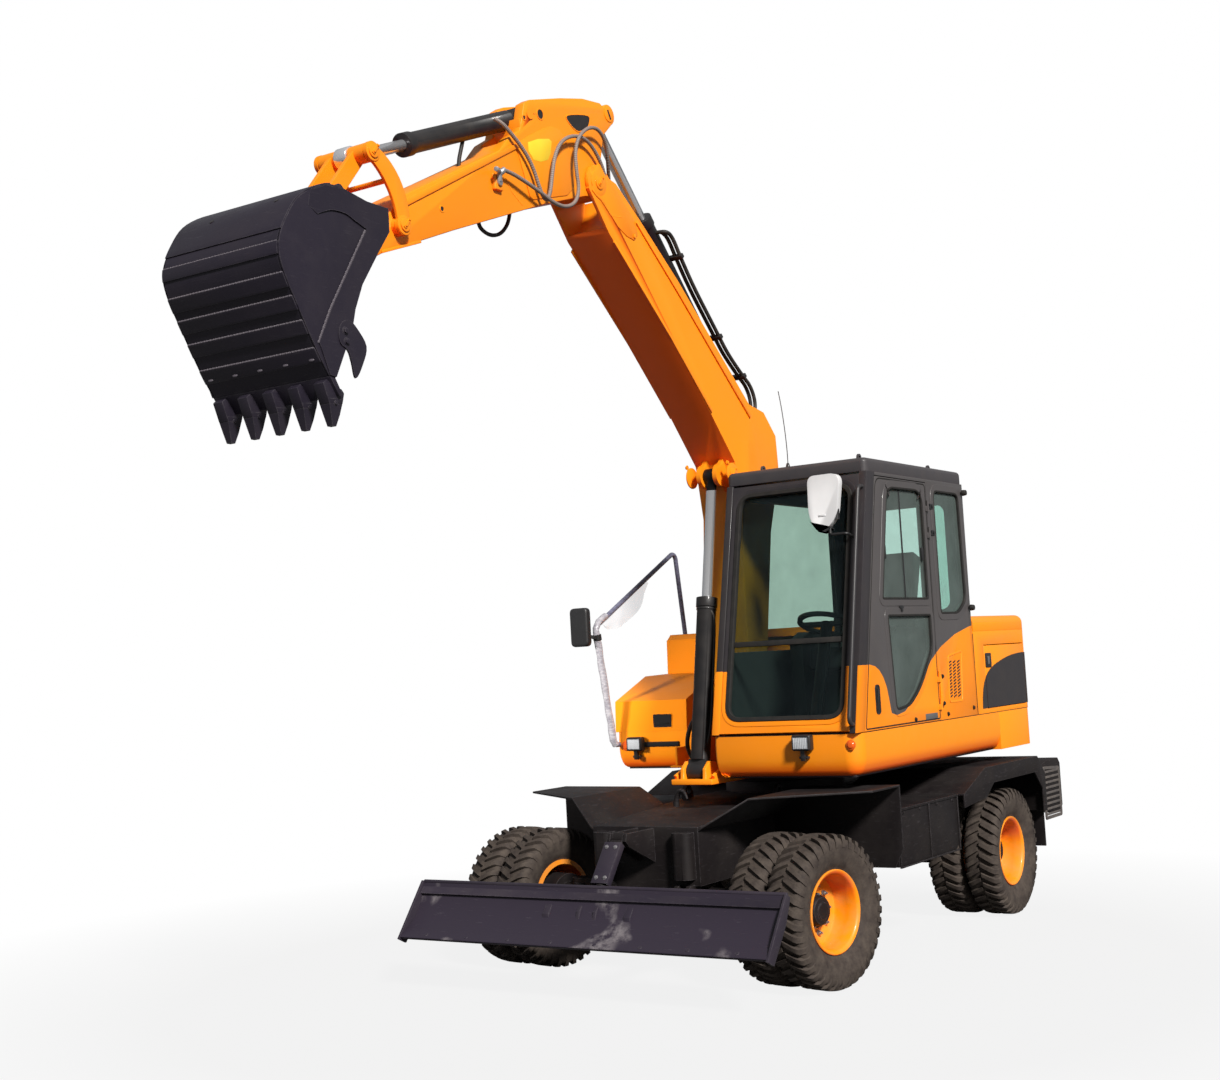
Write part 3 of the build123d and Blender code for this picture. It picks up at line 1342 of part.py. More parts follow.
# ------------------------------------------------- rails and mirrors outside
RAIL_R = 17.0
RAIL_X = -HOUSE_HALF + 22
RAIL_FOOT = (RAIL_X, 1040.0, 1300.0)
RAIL_KNEE = (RAIL_X, 893.0, 2135.0)
GRAB_SEAT = 3.5
with BuildPart() as handrails:
    with BuildLine() as rail_path:
        FilletPolyline(
            (RAIL_X, TANK_FRONT - RUN, RAIL_FOOT[2]), RAIL_FOOT, RAIL_KNEE,
            (RAIL_X, 1999, 2689), (RAIL_X, 2085, HOOD_TOP - 2 + 2.6), radius=45,
        )
    with BuildSketch(Plane(origin=(RAIL_X, TANK_FRONT - RUN, RAIL_FOOT[2]), z_dir=(0, -1, 0))):
        Circle(RAIL_R)
    sweep()
    # grab rail on the cab's front pillar
    with BuildLine() as grab_path:
        FilletPolyline(
            (CAB_OUT - 24, front_y(2870) - GRAB_SEAT, 2870), (CAB_OUT - 24, front_y(2870) - 60, 2870),
            (CAB_OUT - 24, front_y(1440) - 60, 1440), (CAB_OUT - 24, front_y(1440) - GRAB_SEAT, 1440),
            radius=40,
        )
    with BuildSketch(Plane(origin=(CAB_OUT - 24, front_y(2870) - GRAB_SEAT, 2870), z_dir=(0, -1, 0))):
        Circle(13)
    sweep()
save(handrails, "handrails")

MIRROR_CLAMP_Z = 2060.0
MIRROR_OUT = 62.0
MIRROR_BAR_Z = 2560.0
MIRROR_BAR_R = 9.0
MIRROR_BAR_IN = 19.0
CLAMP_R = 30.0
FRONT_MIRROR = (CAB_OUT - 180, 415.0)
with BuildPart() as mirrors:
    # right-hand mirror, clamped round the rail's straight front leg
    with BuildSketch(Plane.XY.offset(2000)):
        with Locations((RAIL_X - MIRROR_OUT, 800)):
            RectangleRounded(150, 60, 25)
    extrude(amount=270)
    leg = Vector(0, RAIL_KNEE[1] - RAIL_FOOT[1], RAIL_KNEE[2] - RAIL_FOOT[2]).normalized()
    share = (MIRROR_CLAMP_Z - RAIL_FOOT[2]) / (RAIL_KNEE[2] - RAIL_FOOT[2])
    clamp_y = RAIL_FOOT[1] + (RAIL_KNEE[1] - RAIL_FOOT[1]) * share
    with BuildSketch(Plane(origin=(RAIL_X, clamp_y, MIRROR_CLAMP_Z), x_dir=(1, 0, 0), z_dir=leg)):
        Circle(CLAMP_R)
    extrude(amount=20, both=True)
    with BuildSketch(side(RAIL_X - 12)):
        with Locations(((clamp_y + 820) / 2, MIRROR_CLAMP_Z)):
            Rectangle(clamp_y - 820, 24)
    extrude(amount=24)
    with BuildSketch(Plane(origin=(RAIL_X, clamp_y, MIRROR_CLAMP_Z), x_dir=(1, 0, 0), z_dir=leg)):
        Circle(RAIL_R + RUN)
    extrude(amount=60, both=True, mode=Mode.SUBTRACT)
    # mirror at the top of the windscreen, on a bent bar from the frame's edge strip
    with BuildSketch(Plane.XY.offset(2640)):
        with Locations(FRONT_MIRROR):
            RectangleRounded(170, 50, 20)
    extrude(amount=300)
    off_frame = front_plane.z_dir
    bar_foot = Vector(FRONT_OUT - MIRROR_BAR_IN, front_y(MIRROR_BAR_Z), MIRROR_BAR_Z)
    bar_knee = bar_foot + off_frame * 90
    with BuildLine() as bar_path:
        FilletPolyline(
            bar_foot + off_frame * RUN, bar_knee, (FRONT_MIRROR[0], bar_knee.Y, bar_knee.Z),
            (FRONT_MIRROR[0], FRONT_MIRROR[1], 2660), radius=18,
        )
    with BuildSketch(Plane(origin=bar_foot + off_frame * RUN, z_dir=off_frame)):
        Circle(MIRROR_BAR_R)
    sweep()
save(mirrors, "mirrors")
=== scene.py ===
# %% [markdown]
# # A wheeled excavator
# The machine's solid pieces come from a CAD model, which gives every size and place.
# This script dresses that model: it softens edges, adds the small parts that a solid
# model leaves out, and mixes a finish for each material.
# Lengths are in metres. The machine faces -Y, +X is its cab side and Z = 0 is the ground.

import json
from math import atan2, cos, hypot, pi, radians, sin

import bmesh
import bpy
from mathutils import Matrix, Vector, noise


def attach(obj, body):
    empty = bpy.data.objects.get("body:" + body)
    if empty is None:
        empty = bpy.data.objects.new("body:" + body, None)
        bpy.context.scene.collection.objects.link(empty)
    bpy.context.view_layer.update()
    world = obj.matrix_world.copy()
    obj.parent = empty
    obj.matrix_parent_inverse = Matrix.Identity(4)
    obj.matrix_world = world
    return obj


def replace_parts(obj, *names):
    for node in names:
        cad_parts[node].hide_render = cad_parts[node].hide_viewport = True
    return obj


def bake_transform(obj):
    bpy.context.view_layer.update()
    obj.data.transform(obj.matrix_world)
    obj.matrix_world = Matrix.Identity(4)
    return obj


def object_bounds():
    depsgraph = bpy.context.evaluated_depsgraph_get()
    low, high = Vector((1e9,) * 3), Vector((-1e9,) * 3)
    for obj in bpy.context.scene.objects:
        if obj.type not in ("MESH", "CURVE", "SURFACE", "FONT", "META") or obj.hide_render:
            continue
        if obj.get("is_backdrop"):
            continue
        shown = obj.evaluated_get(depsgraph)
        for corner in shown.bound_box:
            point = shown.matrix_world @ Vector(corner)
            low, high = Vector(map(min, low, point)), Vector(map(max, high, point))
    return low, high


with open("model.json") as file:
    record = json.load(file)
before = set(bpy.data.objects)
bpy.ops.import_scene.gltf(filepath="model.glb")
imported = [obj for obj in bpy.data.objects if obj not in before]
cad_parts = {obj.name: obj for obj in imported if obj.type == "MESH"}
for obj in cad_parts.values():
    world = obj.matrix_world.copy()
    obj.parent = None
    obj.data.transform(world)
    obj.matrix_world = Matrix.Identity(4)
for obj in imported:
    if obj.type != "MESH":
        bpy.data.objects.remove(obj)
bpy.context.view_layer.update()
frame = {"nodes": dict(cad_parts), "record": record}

# %% [markdown]
# ## The camera
# It stands in front of the machine on its cab side, as high as the lower window of the cab's
# door, and looks slightly up. A long lens keeps the boom from looking stretched. The camera is
# turned by its own three directions, which is easier to read than three Euler angles.

# %% Camera
def new_object(name, data):
    """An object in the scene that shows this data."""
    made = bpy.data.objects.new(name, data)
    bpy.context.collection.objects.link(made)
    return made


LENS_MM, SENSOR_MM = 48.64, 36
CAMERA_AT = Vector((5.4291, -8.6205, 1.8899))
CAMERA_TURN = radians(33.9104)
CAMERA_RISE = radians(-4.1981)
CAMERA_ROLL = radians(-3.1814)

back = Vector((sin(CAMERA_TURN) * cos(CAMERA_RISE), -cos(CAMERA_TURN) * cos(CAMERA_RISE), sin(CAMERA_RISE)))
level = Vector((cos(CAMERA_TURN), sin(CAMERA_TURN), 0))
above = back.cross(level)
right = level * cos(CAMERA_ROLL) + above * sin(CAMERA_ROLL)
up = above * cos(CAMERA_ROLL) - level * sin(CAMERA_ROLL)
camera_data = bpy.data.cameras.new("camera")
camera_data.lens, camera_data.sensor_width = LENS_MM, SENSOR_MM
camera = new_object("camera", camera_data)
camera.matrix_world = Matrix((
    (right.x, up.x, back.x, CAMERA_AT.x),
    (right.y, up.y, back.y, CAMERA_AT.y),
    (right.z, up.z, back.z, CAMERA_AT.z),
    (0, 0, 0, 1),
))
bpy.context.scene.camera = camera
print("camera at", tuple(CAMERA_AT), "with a lens of", LENS_MM, "mm")

# %% [markdown]
# ## Shader maths written as Python
# A material's pattern is arithmetic on sockets. A small class wraps a socket, so that
# `1 - mask` or `noise * 0.2` adds the Math node for it. Everything else comes from one
# method that takes a node's type, its settings and its inputs.

# %% A socket to calculate with
class Value:
    """An output socket that Python's operators work on."""

    def __init__(self, paint, socket):
        self.paint, self.socket = paint, socket

    def maths(self, operation, *values):
        return self.paint.add("ShaderNodeMath", {"operation": operation}, *values)

    def __add__(self, other):
        return self.maths("ADD", self, other)

    __radd__ = __add__

    def __sub__(self, other):
        return self.maths("SUBTRACT", self, other)

    def __rsub__(self, other):
        return self.maths("SUBTRACT", other, self)

    def __mul__(self, other):
        return self.maths("MULTIPLY", self, other)

    __rmul__ = __mul__

    def __truediv__(self, other):
        return self.maths("DIVIDE", self, other)

    def above(self, edge, soft=0.0):
        """1 where the value is over an edge, 0 under it, with an optional soft step."""
        if not soft:
            return self.maths("GREATER_THAN", self, edge)
        return self.paint.add(
            "ShaderNodeMapRange", {"clamp": True}, self, edge - soft, edge + soft, 0.0, 1.0)

# %% [markdown]
# A material is a Principled shader and whatever is plugged into it. `set` fills one of the
# shader's own inputs, and `add` makes any other node. Underscores stand for spaces in the
# names of sockets.

# %% One material
class Nodes:
    """One material, mixed node by node around a Principled shader."""

    def __init__(self, name, color, roughness, **sockets):
        self.material = bpy.data.materials.new(name)
        self.material.use_nodes = True
        self.nodes = self.material.node_tree.nodes
        self.links = self.material.node_tree.links
        self.shader = self.nodes["Principled BSDF"]
        self.material.diffuse_color = (*color, 1)
        self.set("Base Color", (*color, 1))
        self.set("Roughness", roughness)
        for socket, value in sockets.items():
            self.set(socket.replace("_", " "), value)
        self.place = self.add("ShaderNodeTexCoord", out="Object")

    def plug(self, socket, value):
        if isinstance(value, Value):
            self.links.new(value.socket, socket)
        elif value is not None:
            socket.default_value = value

    def set(self, name, value):
        self.plug(self.shader.inputs[name], value)

    def add(self, kind, settings=None, *values, out=0, **named):
        """A node of this kind, its settings first, then the values of its inputs."""
        node = self.nodes.new(kind)
        for key, value in (settings or {}).items():
            setattr(node, key, value)
        for socket, value in zip(node.inputs, values):
            self.plug(socket, value)
        for name, value in named.items():
            self.plug(node.inputs[name.replace("_", " ")], value)
        return Value(self, node.outputs[out])

# %% [markdown]
# A finish is made of a few patterns that come back in every material: clouds, dots, the place
# and slope of the surface, its edges, a mixture of two colors, and relief.

# %% Patterns for every material
class Paint(Nodes):
    """A material with the patterns that this machine's finishes are made of."""

    def noise(self, scale, detail=3.0, stretch=(1, 1, 1), rough=0.55):
        """Cloudy noise, with features of about 1 / scale metres."""
        where = self.add("ShaderNodeMapping", None, self.place, Scale=stretch)
        return self.add("ShaderNodeTexNoise", None, Vector=where, Scale=scale, Detail=detail, Roughness=rough)

    def spots(self, scale):
        """Distance to the nearest of many scattered points."""
        return self.add("ShaderNodeTexVoronoi", None, Vector=self.place, Scale=scale)

    def axis(self, letter):
        """One coordinate of the surface point."""
        return self.add("ShaderNodeSeparateXYZ", None, self.place, out="XYZ".index(letter))

    def facing(self, direction):
        """How far the surface faces a direction: 1 towards it, -1 away from it."""
        normal = self.add("ShaderNodeTexCoord", out="Normal")
        return self.add("ShaderNodeVectorMath", {"operation": "DOT_PRODUCT"}, normal, direction, out="Value")

    def edges(self, width=0.006):
        """Above 0 within this width of an edge, where a rounded normal leaves the real one."""
        rounded = self.add("ShaderNodeBevel", {"samples": 4}, width)
        flat = self.add("ShaderNodeNewGeometry", out="Normal")
        return 1 - self.add("ShaderNodeVectorMath", {"operation": "DOT_PRODUCT"}, rounded, flat, out="Value")

    def blend(self, share, first, second):
        """Color between two colors."""
        pick = lambda c: c if isinstance(c, Value) else (*c, 1)
        node = self.nodes.new("ShaderNodeMix")
        node.data_type = "RGBA"
        self.plug(node.inputs[0], share)
        self.plug(node.inputs[6], pick(first))
        self.plug(node.inputs[7], pick(second))
        return Value(self, node.outputs[2])

    def bump(self, height, distance, strength=1.0):
        """Relief of that depth, in metres."""
        self.set(
            "Normal",
            self.add("ShaderNodeBump", None, Height=height, Distance=distance, Strength=strength))
        return self

# %% [markdown]
# ## Paints
# The upper body has a glossy orange coat with faint waviness, as sprayed sheet metal has.
# A thin film of dust dulls it unevenly, and its undersides get a deeper, redder colour as painted shade.

# %% Orange and grey paints
ORANGE = (0.94, 0.275, 0.006)
DEEP_ORANGE = (0.80, 0.205, 0.004)
DUST = (0.33, 0.27, 0.21)


def sprayed(name, color, roughness=0.36, dust=0.012, coat=0.12, wave=0.0004):
    """Sprayed sheet metal: slight cloudiness, orange-peel waviness, a film of dust and painted shade on its
    undersides.
    """
    paint = Paint(name, color, roughness, Coat_Weight=coat, Coat_Roughness=0.12, Specular_IOR_Level=0.3)
    cloud = paint.noise(2.2, 4)
    film = paint.noise(9.0, 6).above(0.55, 0.18)
    tone = paint.blend(cloud, color, tuple(c * 0.93 for c in color))
    # painted shade: faces that turn downward get a deeper, redder colour
    tone = paint.blend(
        paint.facing((0, 0, 1)).above(-0.35, 0.2), (color[0], color[1] * 0.45, color[2] * 0.7), tone)
    paint.set("Base Color", paint.blend(film * dust, tone, DUST))
    paint.set("Roughness", roughness + 0.10 * film + 0.05 * cloud)
    return paint.bump(paint.noise(60.0, 2) + 0.35 * paint.noise(380.0, 1), wave).material


orange_paint = sprayed("orange_paint", ORANGE)
rim_paint = sprayed("rim_paint", (0.86, 0.265, 0.004), 0.38, dust=0.22, coat=0.15)
cab_paint = sprayed("cab_paint", (0.027, 0.024, 0.026), 0.42, dust=0.02, coat=0.08)
roof_paint = sprayed("roof_paint", (0.050, 0.046, 0.050), 0.42, dust=0.03, coat=0.08)
trim_paint = sprayed("trim_paint", (0.016, 0.015, 0.016), 0.42, dust=0.03, coat=0.1)
print("sprayed paints:", len(bpy.data.materials))

# %% [markdown]
# The undercarriage is black over welded plate. It is duller, dusty where dirt lands, and
# rubbed to a paler grey along edges.

# %% Chassis, blade and bucket paints
def work_paint(name, color, worn, dust, roughness=0.5):
    """Black paint on steel that works: dust in patches, long scuffs and pale edges."""
    paint = Paint(name, color, roughness, Specular_IOR_Level=0.25)
    patches = paint.noise(3.5, 7, rough=0.65).above(0.56, 0.14)
    streaks = paint.noise(14.0, 4, stretch=(1, 1, 6)).above(0.66, 0.07)
    rub = paint.edges().above(0.06, 0.05) * paint.noise(30.0, 4).above(0.45, 0.12)
    tone = paint.blend(patches * dust, color, DUST)
    tone = paint.blend(streaks * worn, tone, (0.10, 0.09, 0.10))
    paint.set("Base Color", paint.blend(rub * 0.5, tone, (0.11, 0.10, 0.11)))
    paint.set("Roughness", roughness + 0.2 * patches - 0.12 * streaks)
    return paint.bump(paint.noise(90.0, 4) * 0.6 + streaks * 0.5, 0.0006).material


chassis_paint = work_paint("chassis_paint", (0.008, 0.006, 0.0065), 0.15, 0.018, 0.55)
blade_paint = work_paint("blade_paint", (0.024, 0.019, 0.030), 0.15, 0.03, 0.45)
bucket_paint = work_paint("bucket_paint", (0.017, 0.014, 0.023), 0.08, 0.015, 0.40)
print("paints:", len(bpy.data.materials), "so far")

# %% [markdown]
# ## Rubber, steel, glass and plastics
# Rubber is matt, and dust stays in its grain. Each call below makes one shade of it.

# %% Rubber
def rubber(name, color, dusty, roughness=0.78):
    """Matt rubber with dust worked into its surface."""
    paint = Paint(name, color, roughness, Specular_IOR_Level=0.3)
    dirt = paint.noise(16.0, 6, rough=0.7).above(0.5, 0.2)
    paint.set("Base Color", paint.blend(dirt * dusty, color, DUST))
    paint.set("Roughness", roughness + 0.1 * dirt)
    return paint.bump(paint.noise(220.0, 3), 0.0008).material


tyre_rubber = rubber("tyre_rubber", (0.026, 0.019, 0.017), 0.16)
hose_rubber = rubber("hose_rubber", (0.012, 0.012, 0.013), 0.10, 0.5)
seal_rubber = rubber("seal_rubber", (0.010, 0.010, 0.010), 0.04, 0.6)
grey_rubber = rubber("grey_rubber", (0.060, 0.055, 0.056), 0.20, 0.7)
print("paints:", len(bpy.data.materials), "so far")

# %% [markdown]
# Bare metal has a Metallic value below 1: a little of the light scatters, as on real steel.
# A cylinder's rod is polished, and its eye is a black casting: one material shows both.

# %% Steel
def metal(name, color, roughness, brushed=0.04, metallic=0.78):
    """Bare metal with fine scratches; a little of it scatters, so that it isn't a mirror."""
    paint = Paint(name, color, roughness, Metallic=metallic)
    scratches = paint.noise(160.0, 3, stretch=(1, 8, 8))
    paint.set("Roughness", roughness + brushed * scratches)
    return paint.bump(scratches, 0.00008).material


CHROME, CHROME_ROUGHNESS, CASTING = (0.86, 0.87, 0.90), 0.16, (0.02, 0.02, 0.022)
chrome = metal("chrome", CHROME, CHROME_ROUGHNESS)
steel = metal("steel", (0.46, 0.46, 0.48), 0.34)
worn_steel = metal("worn_steel", (0.30, 0.29, 0.30), 0.42)
print("paints:", len(bpy.data.materials), "so far")

# %% Rods with a cast eye
def rod_finish(name, axis, edge):
    """Polished rod whose eye, beyond a place along an axis, is black casting."""
    paint = Paint(name, CHROME, CHROME_ROUGHNESS, Metallic=0.78)
    eye = paint.axis(axis).above(edge)
    paint.set("Base Color", paint.blend(eye, CHROME, CASTING))
    paint.set("Roughness", CHROME_ROUGHNESS + 0.3 * eye)
    return paint.bump(paint.noise(160.0, 3, stretch=(1, 8, 8)), 0.00008).material

# %% [markdown]
# Real refraction is slow and noisy. A pane is instead a Mix Shader between a see-through
# shader, which has the tint, and a thin share of gloss.

# %% Glass
def glazing(name, tint, film, roughness=0.03, color=(0.022, 0.030, 0.036)):
    """Tinted pane: clear glass that colors what is behind it, with a faint smeared gloss."""
    paint = Paint(name, color, roughness, Specular_IOR_Level=0.8)
    smear = paint.noise(5.0, 5).above(0.55, 0.25)
    paint.set("Roughness", roughness + 0.06 * smear)
    clear = paint.add("ShaderNodeBsdfTransparent", None, (*tint, 1))
    gloss = Value(paint, paint.shader.outputs[0])
    pane = paint.add("ShaderNodeMixShader", None, film + 0.06 * smear, clear, gloss)
    paint.links.new(pane.socket, paint.nodes["Material Output"].inputs["Surface"])
    paint.material.diffuse_color = (*tint, 0.4)
    return paint.material


cab_glazing = glazing("cab_glazing", (0.82, 0.955, 0.915), 0.08)
side_glazing = glazing("side_glazing", (0.88, 0.955, 0.93), 0.11, color=(0.34, 0.40, 0.38))
boom_side_glazing = glazing("boom_side_glazing", (0.79, 0.835, 0.79), 0.08)
lamp_glass = glazing("lamp_glass", (0.97, 0.98, 0.99), 0.06, 0.08)
print("paints:", len(bpy.data.materials), "so far")

# %% [markdown]
# Plastic gets its look from a fine relief. Cloth is two sine waves that cross, and loose film
# is soft folds of noise.

# %% Plastics and fabric
def moulded(name, color, roughness=0.45, grain=0.0004, **sockets):
    """Moulded plastic with a fine leather-like grain."""
    paint = Paint(name, color, roughness, **sockets)
    tone = paint.noise(7.0, 3)
    paint.set("Base Color", paint.blend(tone, color, tuple(c * 0.82 for c in color)))
    return paint.bump(paint.spots(260.0), grain).material


black_plastic = moulded("black_plastic", (0.014, 0.014, 0.015))
grey_plastic = moulded("grey_plastic", (0.11, 0.11, 0.115))
white_plastic = moulded("white_plastic", (0.72, 0.72, 0.73), 0.3, 0.0001)
amber_lens = moulded("amber_lens", (0.85, 0.12, 0.01), 0.2, 0.0002)
yellow_plate = moulded("yellow_plate", (0.92, 0.62, 0.03), 0.4, 0.0001)
mirror_face = Paint("mirror_face", (0.75, 0.77, 0.78), 0.04, Metallic=1.0)
mirror_face.set("Roughness", 0.03 + 0.04 * mirror_face.noise(6.0))
mirror_face = mirror_face.material
print("paints:", len(bpy.data.materials), "so far")

# %% Woven seat cloth
CLOTH, THREAD = (0.020, 0.020, 0.022), (0.040, 0.040, 0.044)
THREADS = 900                        # sine waves, in radians a metre
seat_cloth = Paint("seat_cloth", CLOTH, 0.9)
weave = seat_cloth.add("ShaderNodeMath", {"operation": "SINE"}, seat_cloth.axis("X") * THREADS)
weave = weave * seat_cloth.add("ShaderNodeMath", {"operation": "SINE"}, seat_cloth.axis("Z") * THREADS)
seat_cloth.set("Base Color", seat_cloth.blend(weave, CLOTH, THREAD))
seat_cloth = seat_cloth.bump(weave, 0.0006).material
print("threads in a centimetre of cloth:", round(THREADS / (2 * pi) / 100, 1))

# %% Wrapping film
wrap_film = Paint("wrap_film", (0.35, 0.34, 0.38), 0.35, Specular_IOR_Level=0.6)
folds = wrap_film.noise(28.0, 5, stretch=(1, 1, 2.5))
wrap_film.set("Base Color", wrap_film.blend(folds.above(0.5, 0.2), (0.22, 0.21, 0.25), (0.48, 0.47, 0.50)))
wrap_film = wrap_film.bump(folds, 0.002).material

thin_film = glazing("thin_film", (0.97, 0.97, 0.98), 0.30, 0.3, (0.70, 0.70, 0.72))
print("paints:", len(bpy.data.materials), "so far")

# %% [markdown]
# ## Softened steel
# A CAD edge is perfectly sharp, and sharp edges never catch the light. Each plate piece is
# copied, its loose triangles are joined into faces, and its edges get a narrow round.
# The copy stands for the CAD piece, which stays behind it for collision.

# %% From a bmesh to a piece
def smooth_by_angle(mesh, limit):
    """Smooth shading, with hard edges kept where the surface turns sharply."""
    mesh.shade_smooth()
    mesh.set_sharp_from_angle(angle=radians(limit))


def finish_piece(bm, name, body, material, limit=38):
    """Turn a bmesh into a piece that rides on a body."""
    mesh = bpy.data.meshes.new(name)
    bm.to_mesh(mesh)
    bm.free()
    smooth_by_angle(mesh, limit)
    piece = new_object(name, mesh)
    mesh.materials.append(material)
    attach(piece, body)
    print(f"{name}: {len(mesh.polygons)} faces on {body}")
    return piece

# %% Softened copies of the solid pieces
body_of_node = {
    node: body for body, nodes in frame["record"]["behaviour"]["bodies"].items() for node in nodes
}


def from_node(node):
    """A bmesh of a CAD node, its triangles joined into flat faces."""
    bm = bmesh.new()
    bm.from_mesh(frame["nodes"][node].data)
    bmesh.ops.remove_doubles(bm, verts=bm.verts, dist=0.00002)
    bmesh.ops.dissolve_limit(
        bm, angle_limit=radians(0.6), verts=bm.verts, edges=bm.edges, use_dissolve_boundaries=False)
    return bm


def bevel_edges(bm, edges, width, segments=2):
    """Cut these edges round, and return the new vertices."""
    return bmesh.ops.bevel(
        bm, geom=edges, offset=width, offset_type="OFFSET", segments=segments, profile=0.5,
        affect="EDGES", clamp_overlap=True, material=-1)["verts"]


def round_edges(bm, width, angle=28, segments=2, keep=lambda edge: True):
    """Round the edges that turn more than an angle."""
    sharp = [
        e for e in bm.edges
        if len(e.link_faces) == 2 and e.calc_face_angle(0) > radians(angle)
        and e.calc_length() > 2.2 * width and keep(e)
    ]
    bevel_edges(bm, sharp, width, segments)


def soften(node, material, width=0.004, segments=2):
    """Replace a CAD node with its softened copy."""
    bm = from_node(node)
    if width:
        round_edges(bm, width, segments=segments)
    piece = finish_piece(bm, node + "_shell", body_of_node[node], material)
    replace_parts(piece, node)


# %% [markdown]
# Parts that the CAD leaves out are built from a few simple shapes. Each helper adds its shape
# to a bmesh, so that one piece can be made of many of them.

# %% Turned shapes and blocks
def turned(points, axis_point, axis, steps):
    """A bmesh turned from a profile: points are (distance along the axis, radius)."""
    axis = Vector(axis).normalized()
    side = axis.orthogonal().normalized()
    bm = bmesh.new()
    verts = [bm.verts.new(Vector(axis_point) + axis * a + side * r) for a, r in points]
    edges = [bm.edges.new(pair) for pair in zip(verts, verts[1:])]
    bmesh.ops.spin(
        bm, geom=verts + edges, cent=axis_point, axis=axis, angle=2 * pi, steps=steps, use_merge=True)
    bmesh.ops.remove_doubles(bm, verts=bm.verts, dist=0.00005)
    bmesh.ops.recalc_face_normals(bm, faces=bm.faces)
    return bm


def add_block(bm, centre, size, turn=None, bevel=0.0, segments=2):
    """Add a box with rounded edges, turned by a 3x3 matrix."""
    made = bmesh.ops.create_cube(bm, size=1.0)["verts"]
    bmesh.ops.scale(bm, vec=size, verts=made)
    if bevel:
        edges = list({e for v in made for e in v.link_edges})
        made = bevel_edges(bm, edges, bevel, segments) + made
        made = [v for v in set(made) if v.is_valid]
    if turn is not None:
        bmesh.ops.rotate(bm, verts=made, cent=(0, 0, 0), matrix=turn)
    bmesh.ops.translate(bm, verts=made, vec=centre)
    return made

# %% Round bars and bolts
def add_round(bm, start, end, radius, sides=20, radius_end=None, bevel=0.0):
    """Add a closed round bar or cone between two points."""
    start, end = Vector(start), Vector(end)
    length = (end - start).length
    turn = (end - start).to_track_quat("Z", "Y").to_matrix()
    made = bmesh.ops.create_cone(
        bm, cap_ends=True, segments=sides, radius1=radius,
        radius2=radius if radius_end is None else radius_end, depth=length)["verts"]
    if bevel:
        edges = {e for v in made for e in v.link_edges}
        rims = [e for e in edges if abs(e.verts[0].co.z - e.verts[1].co.z) < 1e-6]
        made = bevel_edges(bm, rims, bevel) + made
        made = [v for v in set(made) if v.is_valid]
    bmesh.ops.rotate(bm, verts=made, cent=(0, 0, 0), matrix=turn)
    bmesh.ops.translate(bm, verts=made, vec=(start + end) / 2)
    return made


def add_bolt(bm, at, axis, radius, height):
    """Add a hexagon bolt head on a washer, standing out along an axis."""
    at, axis = Vector(at), Vector(axis).normalized()
    add_round(bm, at, at + axis * height * 0.25, radius * 1.35, 16)
    add_round(bm, at + axis * height * 0.2, at + axis * height, radius, 6, bevel=radius * 0.12)

# %% Plates
def add_prism(bm, outline, low, high, axis="X", bevel=0.0, segments=2):
    """Add a plate with an outline, between two places along an axis."""
    lift = {
        "X": lambda a, b: (low, a, b), "Y": lambda a, b: (a, low, b), "Z": lambda a, b: (a, b, low),
    }[axis]
    push = {"X": (high - low, 0, 0), "Y": (0, high - low, 0), "Z": (0, 0, high - low)}[axis]
    verts = [bm.verts.new(lift(*p)) for p in outline]
    face = bm.faces.new(verts)
    made = bmesh.ops.extrude_face_region(bm, geom=[face])["geom"]
    top = [g for g in made if isinstance(g, bmesh.types.BMVert)]
    bmesh.ops.translate(bm, verts=top, vec=push)
    every = verts + top
    faces = list({f for v in every for f in v.link_faces})
    bmesh.ops.recalc_face_normals(bm, faces=faces)
    if bevel:
        edges = list({e for v in every for e in v.link_edges if e.calc_face_angle(0) > radians(25)})
        bevel_edges(bm, edges, bevel, segments)
    return every


def add_side_plate(bm, outline, sign, near, far, bevel=0.0):
    """Add a plate on one side of the machine, between two distances from its middle."""
    low, high = sorted((sign * near, sign * far))
    return add_prism(bm, outline, low, high, bevel=bevel)

# %% Pipes
def pipe_curve(name, points, radius, sides, steps):
    """A curve that passes near a few points, thickened to a round pipe."""
    curve = bpy.data.curves.new(name, "CURVE")
    curve.dimensions, curve.bevel_depth, curve.bevel_resolution = "3D", radius, sides
    curve.resolution_u, curve.use_fill_caps = steps, True
    spline = curve.splines.new("NURBS")
    spline.points.add(len(points) - 1)
    for point, place in zip(spline.points, points):
        point.co = (*place, 1)
    spline.order_u, spline.use_endpoint_u = 3, True
    return curve


def tube(name, points, radius, body, material):
    """A smooth pipe along a few points."""
    curve = pipe_curve(name, points, radius, 6, 10)
    curve.materials.append(material)
    piece = new_object(name, curve)
    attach(piece, body)
    print(f"{name}: a pipe through {len(points)} points on {body}")

# %% [markdown]
# ## Tyres
# Each corner carries twin tyres with a deep open tread: bars run in from the shoulder at a
# slant and meet in a V, so that mud is thrown out sideways. The carcass is a turned profile.
# One bar is shaped flat, wrapped round the carcass, and repeated round both tyres.

